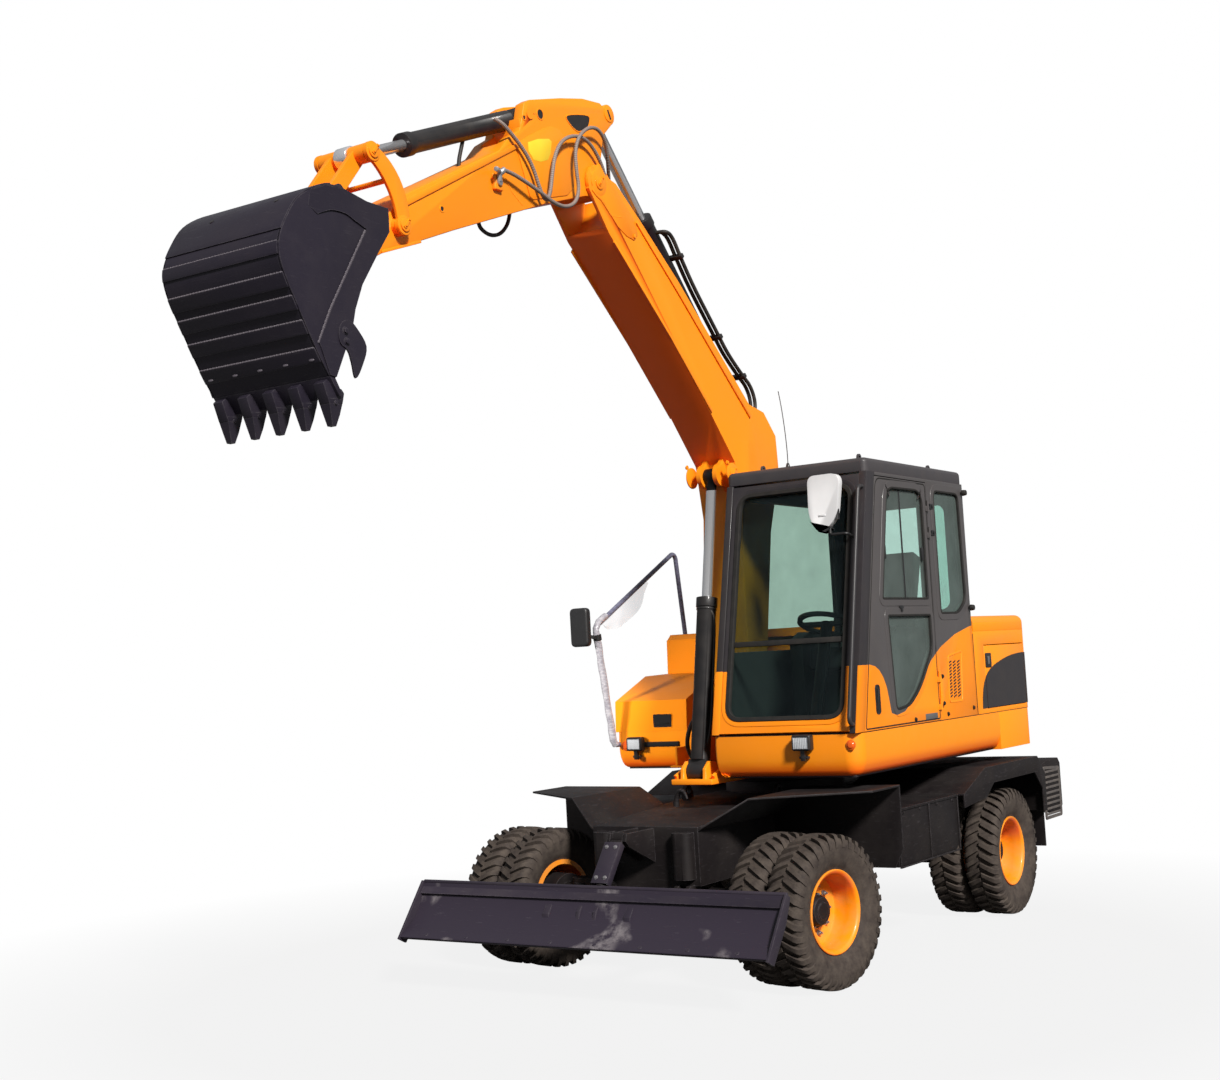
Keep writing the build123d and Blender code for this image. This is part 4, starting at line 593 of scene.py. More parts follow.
# %% Sizes of the tyres
TYRE_R = 0.430
INNER_X, OUTER_X = 0.850, 1.115      # middle planes of the two tyres
KINGPIN_X = 0.600
FRONT_AXLE_Y, REAR_AXLE_Y = -0.170, 2.450
STEER = radians(-9)
BARS = 38                            # tread bars on each side of a tyre
CROWN_R = TYRE_R - 0.0005            # over the bars, at the middle plane
SHOULDER = 0.105                     # where the bars turn down, from the middle plane
BAR_FROM, BAR_TO = 0.006, 0.1172     # a bar's two ends, from the middle plane
BAR_WIDTH, BAR_WIDENS = 0.030, 0.008     # at its inner end, and added at the shoulder
BAR_SLANT = 0.062                    # how far the inner end runs ahead round the tyre
BAR_DEPTH = 0.030
CARCASS = [
    (0.070, 0.222), (0.071, 0.238), (0.080, 0.246), (0.086, 0.258), (0.090, 0.262), (0.098, 0.284),
    (0.108, 0.312), (0.1135, 0.340), (0.114, 0.362), (0.110, 0.385), (0.099, 0.401), (0.070, 0.408),
    (0.030, 0.4105),
]
print("twin tyres, outer width in metres:", round(OUTER_X - INNER_X + 2 * max(x for x, _ in CARCASS), 3))

# %% Carcass and crown
def carcass(middle):
    """Turned tyre without its bars, round a middle plane."""
    half = CARCASS + [(-x, r) for x, r in reversed(CARCASS)]
    return turned([(middle + x, r) for x, r in half], (0, 0, 0), (1, 0, 0), 64)


def crown(x):
    """Radius over the bars at a distance from the middle plane."""
    x = abs(x)
    if x < SHOULDER:
        return CROWN_R - 0.012 * max(0.0, (x - 0.06) / 0.045) ** 2
    return CROWN_R - (0.012 + (x - SHOULDER) * 2.6)

# %% One tread bar
def bar_block():
    """A block in six parts along X, from -0.5 to 0.5 each way."""
    bm = bmesh.new()
    bmesh.ops.create_cube(bm, size=1.0)
    along = [e for e in bm.edges if abs(e.verts[0].co.x - e.verts[1].co.x) > 0.5]
    bmesh.ops.subdivide_edges(bm, edges=along, cuts=5, use_grid_fill=True)
    return bm


def wrap_bar(bm, middle, sign, around):
    """Lay a block on the tyre as one slanted bar, at an angle round it."""
    for v in bm.verts:
        share = v.co.x + 0.5                         # 0 near the middle, 1 at the shoulder
        x = BAR_FROM + (BAR_TO - BAR_FROM) * share
        thick = (BAR_WIDTH + BAR_WIDENS * share) * (1.0 if v.co.z < 0 else 0.86)
        t = v.co.y * thick + BAR_SLANT * (1 - share) ** 0.9
        r = crown(x) if v.co.z > 0 else crown(x) - BAR_DEPTH
        angle = around + t / TYRE_R
        v.co = (middle + sign * x, r * sin(angle), r * cos(angle))
    return bm

# %% Twin tyres
def join(into, bm):
    """Add one bmesh to another."""
    mesh = bpy.data.meshes.new("part")
    bm.to_mesh(mesh)
    bm.free()
    into.from_mesh(mesh)
    bpy.data.meshes.remove(mesh)


tyre_bm = bmesh.new()
for middle in (INNER_X, OUTER_X):
    join(tyre_bm, carcass(middle))
    for n in range(BARS):
        join(tyre_bm, wrap_bar(bar_block(), middle, 1, 2 * pi * n / BARS))
        join(tyre_bm, wrap_bar(bar_block(), middle, -1, 2 * pi * (n + 0.5) / BARS))
bmesh.ops.recalc_face_normals(tyre_bm, faces=tyre_bm.faces)
print("twin tyre faces:", len(tyre_bm.faces))

# %% [markdown]
# ## Rims
# The disc sits deep behind the outer tyre, so the wheel shows a long orange barrel with a
# rolled lip and, far inside, the dark axle hub with its ring of nuts.

# %% Profiles of rim and hub
RIM = [
    (1.194, 0.2345), (1.1965, 0.230), (1.195, 0.224), (1.189, 0.214), (1.180, 0.2075), (1.120, 0.2035),
    (1.050, 0.2035), (1.040, 0.198), (1.034, 0.180), (1.030, 0.150), (1.0265, 0.104), (1.0105, 0.104),
    (1.0105, 0.204), (0.772, 0.206), (0.7695, 0.2345), (0.7795, 0.2345), (0.7798, 0.2216),
    (0.9202, 0.2216), (0.9205, 0.2345), (0.930, 0.2345), (0.933, 0.223), (1.032, 0.223), (1.035, 0.2345),
    (1.0445, 0.2345), (1.0450, 0.2216), (1.1848, 0.2216), (1.1850, 0.2345),
]
HUB = [
    (1.0108, 0.104), (1.0300, 0.104), (1.0340, 0.100), (1.0560, 0.098), (1.0600, 0.086), (1.0900, 0.082),
    (1.1000, 0.074), (1.1030, 0.050), (1.1095, 0.046), (1.1100, 0.0),
]
NUT_RING_R = 0.138
NUTS = 10
print("rim width in metres:", round(max(x for x, _ in RIM) - min(x for x, _ in RIM), 3))

# %% Nuts, and a wheel's place
def nuts_bm():
    """Studs with nuts in a ring on the disc, and bolts round the hub's cap."""
    bm = bmesh.new()
    for n in range(NUTS):
        turn = 2 * pi * n / NUTS
        y, z = NUT_RING_R * cos(turn), NUT_RING_R * sin(turn)
        add_bolt(bm, (1.029, y, z), (1, 0, 0), 0.0125, 0.020)
        add_round(bm, (1.045, y, z), (1.060, y, z), 0.006, 10)
        add_bolt(bm, (1.0585, y * 0.66, z * 0.66), (1, 0, 0), 0.0065, 0.009)
    return bm


def place_wheel(bm, side, axle_y, steer):
    """Put a left-hand wheel's mesh on its axle; the right-hand one is turned half round."""
    if side < 0:
        bmesh.ops.rotate(bm, verts=bm.verts, cent=(0, 0, 0), matrix=Matrix.Rotation(pi, 3, "Z"))
    bmesh.ops.translate(bm, verts=bm.verts, vec=(0, axle_y, TYRE_R))
    bmesh.ops.rotate(
        bm, verts=bm.verts, cent=(side * KINGPIN_X, axle_y, TYRE_R), matrix=Matrix.Rotation(steer, 3, "Z"))
    return bm

# %% Four twin wheels
for corner, side, axle_y, steer in (
    ("front_left", 1, FRONT_AXLE_Y, STEER), ("front_right", -1, FRONT_AXLE_Y, STEER),
    ("rear_left", 1, REAR_AXLE_Y, 0.0), ("rear_right", -1, REAR_AXLE_Y, 0.0),
):
    body = corner + "_wheel"
    shape = place_wheel(tyre_bm.copy(), side, axle_y, steer)
    tyres = finish_piece(shape, corner + "_twin_tyres", body, tyre_rubber, 50)
    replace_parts(tyres, corner + "_tyres")
    shape = place_wheel(turned(RIM + RIM[:1], (0, 0, 0), (1, 0, 0), 72), side, axle_y, steer)
    rim = finish_piece(shape, corner + "_rim_turned", body, rim_paint, 35)
    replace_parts(rim, corner + "_rim")
    shape = place_wheel(turned(HUB, (0, 0, 0), (1, 0, 0), 48), side, axle_y, steer)
    finish_piece(shape, corner + "_hub", body, chassis_paint, 35)
    shape = place_wheel(nuts_bm(), side, axle_y, steer)
    finish_piece(shape, corner + "_nuts", body, worn_steel, 35)
tyre_bm.free()

# %% [markdown]
# ## Plate pieces
# Welded plate has small rounds, and pressed covers have larger ones. The width of the round
# is chosen piece by piece, because it is what tells a casting from a sheet.

# %% Softened chassis and working gear
for node, width in (
    ("chassis_frame", 0.005), ("slew_ring", 0.003), ("side_boxes", 0.006), ("front_fenders", 0.002),
    ("rear_fenders", 0.002), ("rear_guards", 0.004), ("front_axle", 0.006), ("rear_axle", 0.006),
    ("steering_knuckle_left", 0.006), ("steering_knuckle_right", 0.006), ("blade_cylinder_barrel", 0.003),
):
    soften(node, chassis_paint, width)
for node, width in (
    ("boom_bracket", 0.005), ("boom", 0.005), ("arm", 0.004), ("bucket_rocker", 0.003),
    ("bucket_link", 0.003),
):
    soften(node, orange_paint, width)
for arm_part in ("lift", "arm", "bucket"):
    soften(arm_part + "_cylinder_barrel", trim_paint, 0.003)
soften("lift_cylinder_rod", rod_finish("lift_rod_finish", "Z", 2.965), 0.002)
soften("arm_cylinder_rod", rod_finish("arm_rod_finish", "Z", 5.085), 0.002)
soften("bucket_cylinder_rod", chrome, 0.002)
soften("blade_cylinder_rod", chrome, 0.002)

# %% [markdown]
# The covers follow. The tank's cover is pressed from thick sheet with wide corners, so only
# its long edges get the wide round, and then the sharp ones that are left get a narrow one.

# %% Softened covers, cab and fittings
for node, width in (("bay_walls", 0.006), ("side_door", 0.004), ("engine_hood", 0.010)):
    soften(node, orange_paint, width)
for node, width in (("cab_rear", 0.006), ("cab_floor", 0.003), ("house_frame", 0.004)):
    soften(node, cab_paint, width)
tank_bm = from_node("tank_cover")
round_edges(tank_bm, 0.045, segments=6, keep=lambda e: e.calc_length() > 0.2)
round_edges(tank_bm, 0.008, 40)
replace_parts(finish_piece(tank_bm, "tank_shell", "house", orange_paint, 30), "tank_cover")
soften("cab_roof", roof_paint, 0.014)

# %% [markdown]
# The pane beside the boom is greyer than the others, so the glass is parted there.

# %% Cab glass
BOOM_PANE_X = 0.2
panes_bm, left_bm = from_node("cab_glass"), from_node("cab_glass")
for bm, sign in ((panes_bm, 1), (left_bm, -1)):
    others = [v for v in bm.verts if sign * v.co.x < sign * BOOM_PANE_X]
    bmesh.ops.delete(bm, geom=others, context="VERTS")
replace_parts(finish_piece(panes_bm, "cab_glass_shell", "house", cab_glazing), "cab_glass")
finish_piece(left_bm, "cab_left_pane", "house", boom_side_glazing)
soften("door_glass", side_glazing, 0)
soften("operator_seat", seat_cloth, 0.02, 4)
soften("cab_controls", black_plastic, 0.003)
soften("engine", chassis_paint, 0.01)

# %% [markdown]
# ## Bucket
# The bucket is a rolled shell between two side plates. CAD gives it as a row of flats, so here
# the same line is smoothed before it is pushed across. On a real bucket the back also carries
# flat wear strips, and each side has a second plate whose weld bead runs down to the corner.

# %% Smooth and shifted lines
def smooth_line(points, cuts=6, closed=False):
    """More points along a line, on a curve that passes through the given ones."""
    points = [Vector(p) for p in points]
    count = len(points)
    line = []
    for n in range(count if closed else count - 1):
        near = [(n + k) % count if closed else max(0, min(n + k, count - 1)) for k in (-1, 0, 1, 2)]
        a, b, c, d = (points[k] for k in near)
        for k in range(cuts):
            t = k / cuts
            line.append(
                0.5 * (2 * b + (c - a) * t + (2 * a - 5 * b + 4 * c - d) * t * t
                       + (3 * b - a - 3 * c + d) * t ** 3))
    if not closed:
        line.append(points[-1])
    return line


def inset_line(line, distance):
    """The line moved sideways, to its left as it is walked."""
    moved = []
    for n, point in enumerate(line):
        before, after = line[max(0, n - 1)], line[min(len(line) - 1, n + 1)]
        run = (after - before).normalized()
        moved.append(point + Vector((-run.y, run.x)) * distance)
    return moved

# %% Outlines
def rounded(corners, radius=0.03, steps=6):
    """A closed outline with rounded corners; a third number gives a corner its own radius."""
    line = []
    for k, corner in enumerate(corners):
        here = Vector(corner[:2])
        before, after = Vector(corners[k - 1][:2]), Vector(corners[(k + 1) % len(corners)][:2])
        size = corner[2] if len(corner) > 2 else radius
        start = here + (before - here).normalized() * size
        end = here + (after - here).normalized() * size
        for n in range(steps + 1):
            t = n / steps
            line.append((1 - t) ** 2 * start + 2 * t * (1 - t) * here + t * t * end)
    return line


def grown(line, distance):
    """A closed outline moved outward all round."""
    area = sum(a.x * b.y - b.x * a.y for a, b in zip(line, line[1:] + line[:1]))
    turn = 1 if area > 0 else -1
    moved = []
    for k, point in enumerate(line):
        run = (line[(k + 1) % len(line)] - line[k - 1]).normalized()
        moved.append(point + Vector((run.y, -run.x)) * distance * turn)
    return moved

# %% Rings and welds
def add_skin(bm, rows, closed=True):
    """Join rows of vertices with four-sided faces."""
    for first, second in zip(rows, rows[1:]):
        for k in range(0 if closed else 1, len(first)):
            bm.faces.new((first[k - 1], first[k], second[k], second[k - 1]))


def add_ring(bm, profile, line, place):
    """Sweep a profile of (outward, height) round an outline; place maps (a, b, height) to 3D."""
    add_skin(bm, [
        [bm.verts.new(place(p.x, p.y, height)) for p in grown(line, outward)]
        for outward, height in profile
    ])


def add_bead(bm, points, radius, flat=0.6, normal=(1, 0, 0)):
    """Add a weld bead: a row of overlapping low domes along a line."""
    normal = Vector(normal)
    for start, end in zip(points, points[1:]):
        start, end = Vector(start), Vector(end)
        steps = max(1, round((end - start).length / (radius * 1.25)))
        for n in range(steps):
            at = start.lerp(end, (n + 0.5) / steps)
            dome = bmesh.ops.create_icosphere(bm, subdivisions=1, radius=radius)["verts"]
            wobble = 1 + 0.16 * sin(n * 2.4)
            bmesh.ops.transform(
                bm, matrix=Matrix.Scale(flat, 4, normal) @ Matrix.Scale(wobble, 4), verts=dome)
            bmesh.ops.translate(bm, verts=dome, vec=at)


weld_steel = work_paint("weld_steel", (0.085, 0.075, 0.090), 0.2, 0.05, 0.45)

# %% Shell and side plates
HALF = 0.375
SHELL = [
    (-2.820, 4.076), (-2.972, 4.079), (-3.123, 4.108), (-3.241, 4.102), (-3.400, 4.020), (-3.488, 3.911),
    (-3.543, 3.789), (-3.528, 3.676), (-3.433, 3.497), (-3.332, 3.324), (-3.262, 3.224),
]
FRONT_EDGE = [
    (-3.225, 3.219), (-3.106, 3.454), (-3.080, 3.550), (-3.025, 3.674), (-2.905, 3.845), (-2.821, 3.960),
]
shell_line = smooth_line(SHELL)
bucket_bm = bmesh.new()
add_prism(bucket_bm, shell_line + inset_line(shell_line, 0.020)[::-1], -HALF + 0.004, HALF - 0.004)
side_line = shell_line + smooth_line(FRONT_EDGE)
for sign in (-1, 1):
    add_side_plate(bucket_bm, side_line, sign, HALF - 0.016, HALF, 0.0035)
# cutting edge: a thick bar ground to a wedge
WEDGE = [(-3.267, 3.232), (-3.243, 3.246), (-3.185, 3.150), (-3.205, 3.140)]
add_prism(bucket_bm, WEDGE, -HALF, HALF, bevel=0.002)
print("bucket width in metres:", 2 * HALF)

# %% Ears that take the bucket pin and the link pin
EAR = [
    (-2.660, 3.970), (-2.700, 4.050), (-2.850, 4.190), (-2.905, 4.225), (-2.970, 4.170), (-3.080, 4.085),
    (-2.830, 4.060), (-2.760, 3.940),
]
PIN, FOOT = (-2.705, 3.990), (-2.905, 4.155)
for sign in (-1, 1):
    inner, outer = sorted((sign * 0.130, sign * 0.148))
    add_prism(bucket_bm, smooth_line(EAR, 3, True), inner, outer, bevel=0.003)
    for (y, z), radius in ((PIN, 0.066), (FOOT, 0.060)):
        add_round(
            bucket_bm, (inner - 0.001 * sign, y, z), (outer + 0.001 * sign, y, z), radius, 40,
            bevel=0.003)
        add_round(bucket_bm, (sign * 0.146, y, z), (sign * 0.1525, y, z), 0.036, 32, bevel=0.002)
add_round(bucket_bm, (-0.148, *PIN), (0.148, *PIN), 0.032, 32)
add_round(bucket_bm, (-0.148, *FOOT), (0.148, *FOOT), 0.030, 32)
bucket = finish_piece(bucket_bm, "bucket_shell", "bucket", bucket_paint, 32)
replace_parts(bucket, "bucket")

# %% [markdown]
# A weld bead is a row of flattened domes, each a little larger or smaller than the last. It
# runs where one plate lies on another.

# %% Plates welded over the sides
ARC = [(-3.300, 3.953), (-3.214, 3.987), (-3.122, 3.989), (-3.060, 3.968), (-2.983, 3.942)]
OVER = smooth_line(ARC, 4) + [Vector(p) for p in (
    (-3.242, 3.529), (-3.326, 3.368), (-3.264, 3.228), (-3.226, 3.223), (-3.109, 3.455), (-3.083, 3.551),
    (-3.028, 3.675), (-2.908, 3.846), (-2.825, 3.958), (-2.825, 4.071), (-2.972, 4.075), (-3.123, 4.103),
    (-3.241, 4.097), (-3.340, 4.055), (-3.355, 3.985),
)]
over_bm = bmesh.new()
bead_bm = bmesh.new()
for sign in (-1, 1):
    for v in add_side_plate(over_bm, OVER, sign, HALF - 0.001, HALF + 0.007):
        # the plate feathers out towards the back
        fade = min(1.0, max(0.0, (v.co.y + 3.355) / 0.10)) if v.co.z > 3.94 else 1.0
        v.co.x = sign * (HALF - 0.001) + (v.co.x - sign * (HALF - 0.001)) * (0.15 + 0.85 * fade)
    x = sign * (HALF + 0.002)
    add_bead(bead_bm, [(x, -2.988, 3.936), (x, -3.244, 3.529), (x, -3.328, 3.366)], 0.0085)
finish_piece(over_bm, "bucket_side_plates", "bucket", bucket_paint, 30)

# %% Places on the back of the bucket
def on_shell(share):
    """A point of the smoothed back line and the direction that faces out there."""
    spot = share * (len(shell_line) - 1)
    n = min(int(spot), len(shell_line) - 2)
    point = shell_line[n].lerp(shell_line[n + 1], spot - n)
    run = (shell_line[n + 1] - shell_line[n]).normalized()
    return point, Vector((run.y, -run.x))


def nearest_share(y, z):
    """Where along the back line a point lies."""
    return min(range(601), key=lambda n: (on_shell(n / 600)[0] - Vector((y, z))).length) / 600


def strip_outline(line, thick):
    """A closed outline that lies on the back line, this thick."""
    return [p for p, _ in line] + [p + out * thick for p, out in reversed(line)]

# %% Wear strips on the back
strip_bm = bmesh.new()
for y, z, width in (
    (-3.543, 3.790, 0.110), (-3.519, 3.655, 0.070), (-3.468, 3.558, 0.062), (-3.409, 3.457, 0.062),
    (-3.343, 3.343, 0.088),
):
    first = nearest_share(y, z)
    line = [on_shell(first + width / 2.05 * k / 6) for k in range(7)]
    add_prism(strip_bm, strip_outline(line, 0.007), -HALF + 0.006, HALF - 0.006, bevel=0.0015)
    top, out = line[0]
    edge = top + out * 0.002
    add_bead(bead_bm, [(-HALF + 0.01, edge.x, edge.y), (HALF - 0.01, edge.x, edge.y)], 0.0060, 0.8)
first, last = nearest_share(-3.20, 4.104), nearest_share(-3.530, 3.850)
top_line = [on_shell(first + k * (last - first) / 14) for k in range(15)]
add_prism(strip_bm, strip_outline(top_line, 0.006), -HALF + 0.003, HALF - 0.003, bevel=0.0015)
finish_piece(strip_bm, "bucket_wear_strips", "bucket", bucket_paint, 30)

# %% Plug welds, holes and a lug
plug, out = on_shell(nearest_share(-3.318, 3.300))
for n in range(5):
    dome = bmesh.ops.create_icosphere(bead_bm, subdivisions=2, radius=0.012)["verts"]
    bmesh.ops.scale(bead_bm, vec=(1.5, 0.8, 0.5), verts=dome)
    bmesh.ops.rotate(bead_bm, verts=dome, cent=(0, 0, 0), matrix=Matrix.Rotation(radians(58), 3, "X"))
    spot = plug + out * 0.006
    bmesh.ops.translate(bead_bm, verts=dome, vec=((n - 2) * 0.162, spot.x, spot.y))
finish_piece(bead_bm, "bucket_weld_beads", "bucket", weld_steel, 60)

# painted shade: each plug hole is a dark disc standing on the shell, for the shaded inside of the hole
hole_bm = bmesh.new()
for x, (y, z) in ((0.235, (-3.405, 4.016)), (-0.155, (-3.430, 3.990))):
    spot, out = on_shell(nearest_share(y, z))
    low, high = spot + out * 0.004, spot + out * 0.0085
    add_round(hole_bm, (x, low.x, low.y), (x, high.x, high.y), 0.012, 20, bevel=0.001)
finish_piece(hole_bm, "bucket_plug_holes", "bucket", trim_paint, 40)

LUG = [(-3.17, 4.10), (-3.15, 4.125), (-3.10, 4.138), (-3.05, 4.122), (-3.03, 4.09)]
lug_bm = bmesh.new()
add_prism(lug_bm, smooth_line(LUG, 4), 0.02, 0.05, bevel=0.003)
finish_piece(lug_bm, "bucket_lug", "bucket", bucket_paint, 40)

# %% [markdown]
# Each tooth is an adapter that straddles the edge and a point that is driven onto it. Both
# are plates with an outline. The point tapers sideways as well, and a pin holds it.

# %% Teeth
TEETH, TOOTH_PITCH, TOOTH_W = 5, 0.162, 0.068
ADAPTER = [
    (-3.287, 3.196), (-3.262, 3.215), (-3.203, 3.175), (-3.170, 3.180), (-3.152, 3.160), (-3.166, 3.108),
    (-3.252, 3.106),
]
POINT = [(-3.256, 3.128), (-3.163, 3.132), (-3.180, 3.060), (-3.199, 3.008), (-3.222, 3.009), (-3.237, 3.060)]
teeth_bm = bmesh.new()
for number in range(TEETH):
    x = (number - (TEETH - 1) / 2) * TOOTH_PITCH
    add_prism(teeth_bm, ADAPTER, x - TOOTH_W * 0.47, x + TOOTH_W * 0.47, bevel=0.005)
    for v in add_prism(teeth_bm, POINT, x - TOOTH_W / 2, x + TOOTH_W / 2):
        drop = min(1.0, max(0.0, (3.125 - v.co.z) / 0.115))
        v.co.x = x + (v.co.x - x) * (0.98 - 0.50 * drop)
    add_round(teeth_bm, (x - 0.037, -3.213, 3.112), (x + 0.037, -3.213, 3.112), 0.009, 16, bevel=0.001)
teeth = finish_piece(teeth_bm, "bucket_teeth_shaped", "bucket", bucket_paint, 34)
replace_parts(teeth, "bucket_teeth")

# %% Side cutters
CUTTER = [
    (-3.205, 3.425), (-3.185, 3.475), (-3.137, 3.493), (-3.083, 3.462), (-3.020, 3.388), (-3.052, 3.300),
    (-3.106, 3.230), (-3.128, 3.300), (-3.150, 3.352), (-3.195, 3.378),
]
cutter_bm = bmesh.new()
for sign in (-1, 1):
    blank = add_side_plate(cutter_bm, smooth_line(CUTTER, 4, True), sign, HALF + 0.003, HALF + 0.013)
    for v in blank:                       # the working edge is ground thin
        reach = min(1.0, max(0.0, (v.co.y + 3.105) / 0.085))
        v.co.x = sign * (HALF + 0.003) + (v.co.x - sign * (HALF + 0.003)) * (1 - 0.6 * reach)
    for y, z in ((-3.165, 3.440), (-3.158, 3.392)):
        add_bolt(cutter_bm, (sign * (HALF + 0.012), y, z), (sign, 0, 0), 0.013, 0.012)
finish_piece(cutter_bm, "bucket_side_cutters", "bucket", bucket_paint, 34)

# %% [markdown]
# ## Arm and boom fittings
# The arm and boom are boxes of welded plate. What makes them read as steelwork is on the
# outside: doubler plates, holes with rolled rims, bosses, pin caps that are locked by a bar,
# and the hoses that carry oil past each joint.

# %% Small fittings
def add_pin_cap(bm, sign, x, spot, radius, turn=0.6):
    """A pin's end with a locking bar and two bolts, on a face at x."""
    y, z = spot
    add_round(bm, (sign * (x - 0.002), y, z), (sign * (x + 0.007), y, z), radius, 32, bevel=0.0025)
    run = Vector((0, cos(turn), sin(turn)))
    at = Vector((sign * (x + 0.009), y, z)) + run * radius * 0.35
    add_block(bm, at, (0.006, radius * 1.9, radius * 0.55), Matrix.Rotation(turn, 3, "X"), 0.0015)
    for k in (-0.55, 0.75):
        add_bolt(bm, at + run * radius * k + Vector((sign * 0.002, 0, 0)), (sign, 0, 0), radius * 0.16, 0.007)


def add_dark_hole(rim_bm, dark_bm, sign, x, outline):
    """A hole in a plate: a raised, rounded rim round a dark plate, which is painted shade for the inside of
    the hole.
    """
    add_side_plate(dark_bm, outline, sign, x - 0.002, x + 0.0006)
    place = lambda a, b, height: (sign * (x + height), a, b)
    add_ring(rim_bm, [(0.0, -0.001), (0.0005, 0.003), (0.006, 0.003), (0.008, -0.001)], outline, place)


def circle_line(y, z, radius, count=24):
    """A round outline."""
    turns = [2 * pi * k / count for k in range(count)]
    return [Vector((y + radius * cos(t), z + radius * sin(t))) for t in turns]

# %% Arm plates, holes and pins
ARM_X = 0.124
DOUBLER = [
    (-1.440, 4.742), (-1.414, 4.782), (-1.300, 4.848), (-1.182, 4.912), (-1.100, 4.946), (-1.020, 4.945),
    (-0.960, 4.900), (-0.905, 4.820), (-0.880, 4.720), (-0.905, 4.630), (-0.975, 4.570), (-1.333, 4.470),
]
OPENING = [
    (-0.928, 5.050), (-0.722, 5.100), (-0.708, 5.060), (-0.745, 5.020), (-0.830, 4.984), (-0.905, 5.008),
]
FLANGE = [(-2.405, 4.252), (-1.398, 4.788), (-1.412, 4.752), (-2.395, 4.222)]
WEAR_PLATE = [(-2.600, 3.960), (-2.300, 4.064), (-2.296, 4.050), (-2.596, 3.944)]
arm_bm, hole_bm = bmesh.new(), bmesh.new()
for sign in (-1, 1):
    add_side_plate(arm_bm, DOUBLER, sign, ARM_X - 0.001, ARM_X + 0.005, 0.0015)
    # the top flange stands out past the side plate
    add_side_plate(arm_bm, FLANGE, sign, ARM_X - 0.001, ARM_X + 0.008, 0.002)
    # wear plate under the nose of the arm
    add_side_plate(arm_bm, WEAR_PLATE, sign, ARM_X - 0.001, ARM_X + 0.008, 0.002)
    bead = [(-1.556, 4.548), (-1.500, 4.480), (-1.408, 4.424)]
    add_bead(arm_bm, [(sign * ARM_X, *place) for place in bead], 0.0055)
    # painted shade: each hole is a dark plate inside its rim, not an opening
    for outline in (circle_line(-1.353, 4.935, 0.011, 16), circle_line(-1.198, 4.992, 0.027),
                    smooth_line(OPENING, 4, True), circle_line(-2.112, 4.264, 0.013, 16)):
        add_dark_hole(arm_bm, hole_bm, sign, ARM_X, outline)
    # flat discs over the pins
    for (y, z), radius in (((-0.490, 5.165), 0.046), ((-1.300, 4.968), 0.030)):
        add_round(
            arm_bm, (sign * (ARM_X - 0.002), y, z), (sign * (ARM_X + 0.004), y, z), radius, 40,
            bevel=0.002)
        add_block(
            hole_bm, (sign * (ARM_X + 0.004), y, z), (0.003, radius * 0.35, radius * 1.3),
            Matrix.Rotation(0.5, 3, "X"), 0.001)
# plate over the tip of the cylinder well
add_block(arm_bm, (0, -1.385, 4.868), (0.246, 0.012, 0.110), Matrix.Rotation(radians(10), 3, "X"), 0.003)
finish_piece(arm_bm, "arm_plates", "arm", orange_paint, 32)
finish_piece(hole_bm, "arm_holes", "arm", trim_paint, 32)

# %% Blank plate on the arm
BLANK = [(-1.335, 4.797), (-1.132, 4.864), (-1.112, 4.826), (-1.152, 4.737), (-1.288, 4.706)]
plate_bm = bmesh.new()
add_prism(plate_bm, smooth_line(BLANK, 2, True), 0.1285, 0.1305, bevel=0.0006)
finish_piece(plate_bm, "blank_plate", "arm", yellow_plate, 32)

# %% Rocker and link pins
pin_bm, boss_bm = bmesh.new(), bmesh.new()
for sign in (-1, 1):
    for spot in ((-2.470, 4.100), (-2.680, 4.428)):
        add_round(boss_bm, (sign * 0.171, *spot), (sign * 0.176, *spot), 0.050, 40, bevel=0.002)
        add_pin_cap(pin_bm, sign, 0.176, spot, 0.034, 0.9)
finish_piece(boss_bm, "rocker_bosses", "bucket_rocker", orange_paint, 32)
finish_piece(pin_bm, "rocker_pins", "bucket_rocker", orange_paint, 32)

# %% [markdown]
# The same fittings come back on the boom. Both sides are built in one loop: `sign` is -1 on
# one side and 1 on the other, and every distance along X is multiplied by it.

# %% Boom plates, bosses and pins
BOOM_X = 0.150
FORK = [
    (-0.700, 4.800), (-0.640, 4.810), (-0.560, 4.740), (-0.300, 4.530), (-0.330, 4.420), (-0.500, 4.470),
    (-0.640, 4.590), (-0.755, 4.640),
]
RIBS = (
    [(-0.290, 4.548), (0.180, 4.166), (0.990, 3.468), (0.976, 3.452), (0.166, 4.148), (-0.302, 4.532)],
    [(-0.560, 4.365), (0.020, 3.868), (0.472, 3.440), (0.484, 3.456), (0.032, 3.884), (-0.548, 4.382)],
)
boom_bm, pin_bm = bmesh.new(), bmesh.new()
for sign in (-1, 1):
    for (y, z), radius, reach in (((-0.680, 4.700), 0.076, 0.006), ((0.695, 3.063), 0.070, 0.008)):
        add_round(
            boom_bm, (sign * (BOOM_X - 0.002), y, z), (sign * (BOOM_X + reach), y, z), radius, 48,
            bevel=0.003)
        add_pin_cap(pin_bm, sign, BOOM_X + reach, (y, z), radius * 0.50, 0.9)
    # doubler plates at the fork and ribs along the upper and lower edges
    add_side_plate(boom_bm, smooth_line(FORK, 2, True), sign, BOOM_X - 0.001, BOOM_X + 0.005, 0.0015)
    for rib in RIBS:
        add_side_plate(boom_bm, rib, sign, BOOM_X - 0.001, BOOM_X + 0.010, 0.002)
    bead = [(-0.682, 4.616), (-0.567, 4.526), (-0.452, 4.537)]
    add_bead(boom_bm, [(sign * (BOOM_X + 0.004), *place) for place in bead], 0.005)
    add_bolt(pin_bm, (sign * BOOM_X, -0.328, 4.444), (sign, 0, 0), 0.014, 0.012)
    add_bolt(pin_bm, (sign * BOOM_X, 0.640, 3.130), (sign, 0, 0), 0.012, 0.012)
finish_piece(boom_bm, "boom_plates", "boom", orange_paint, 32)
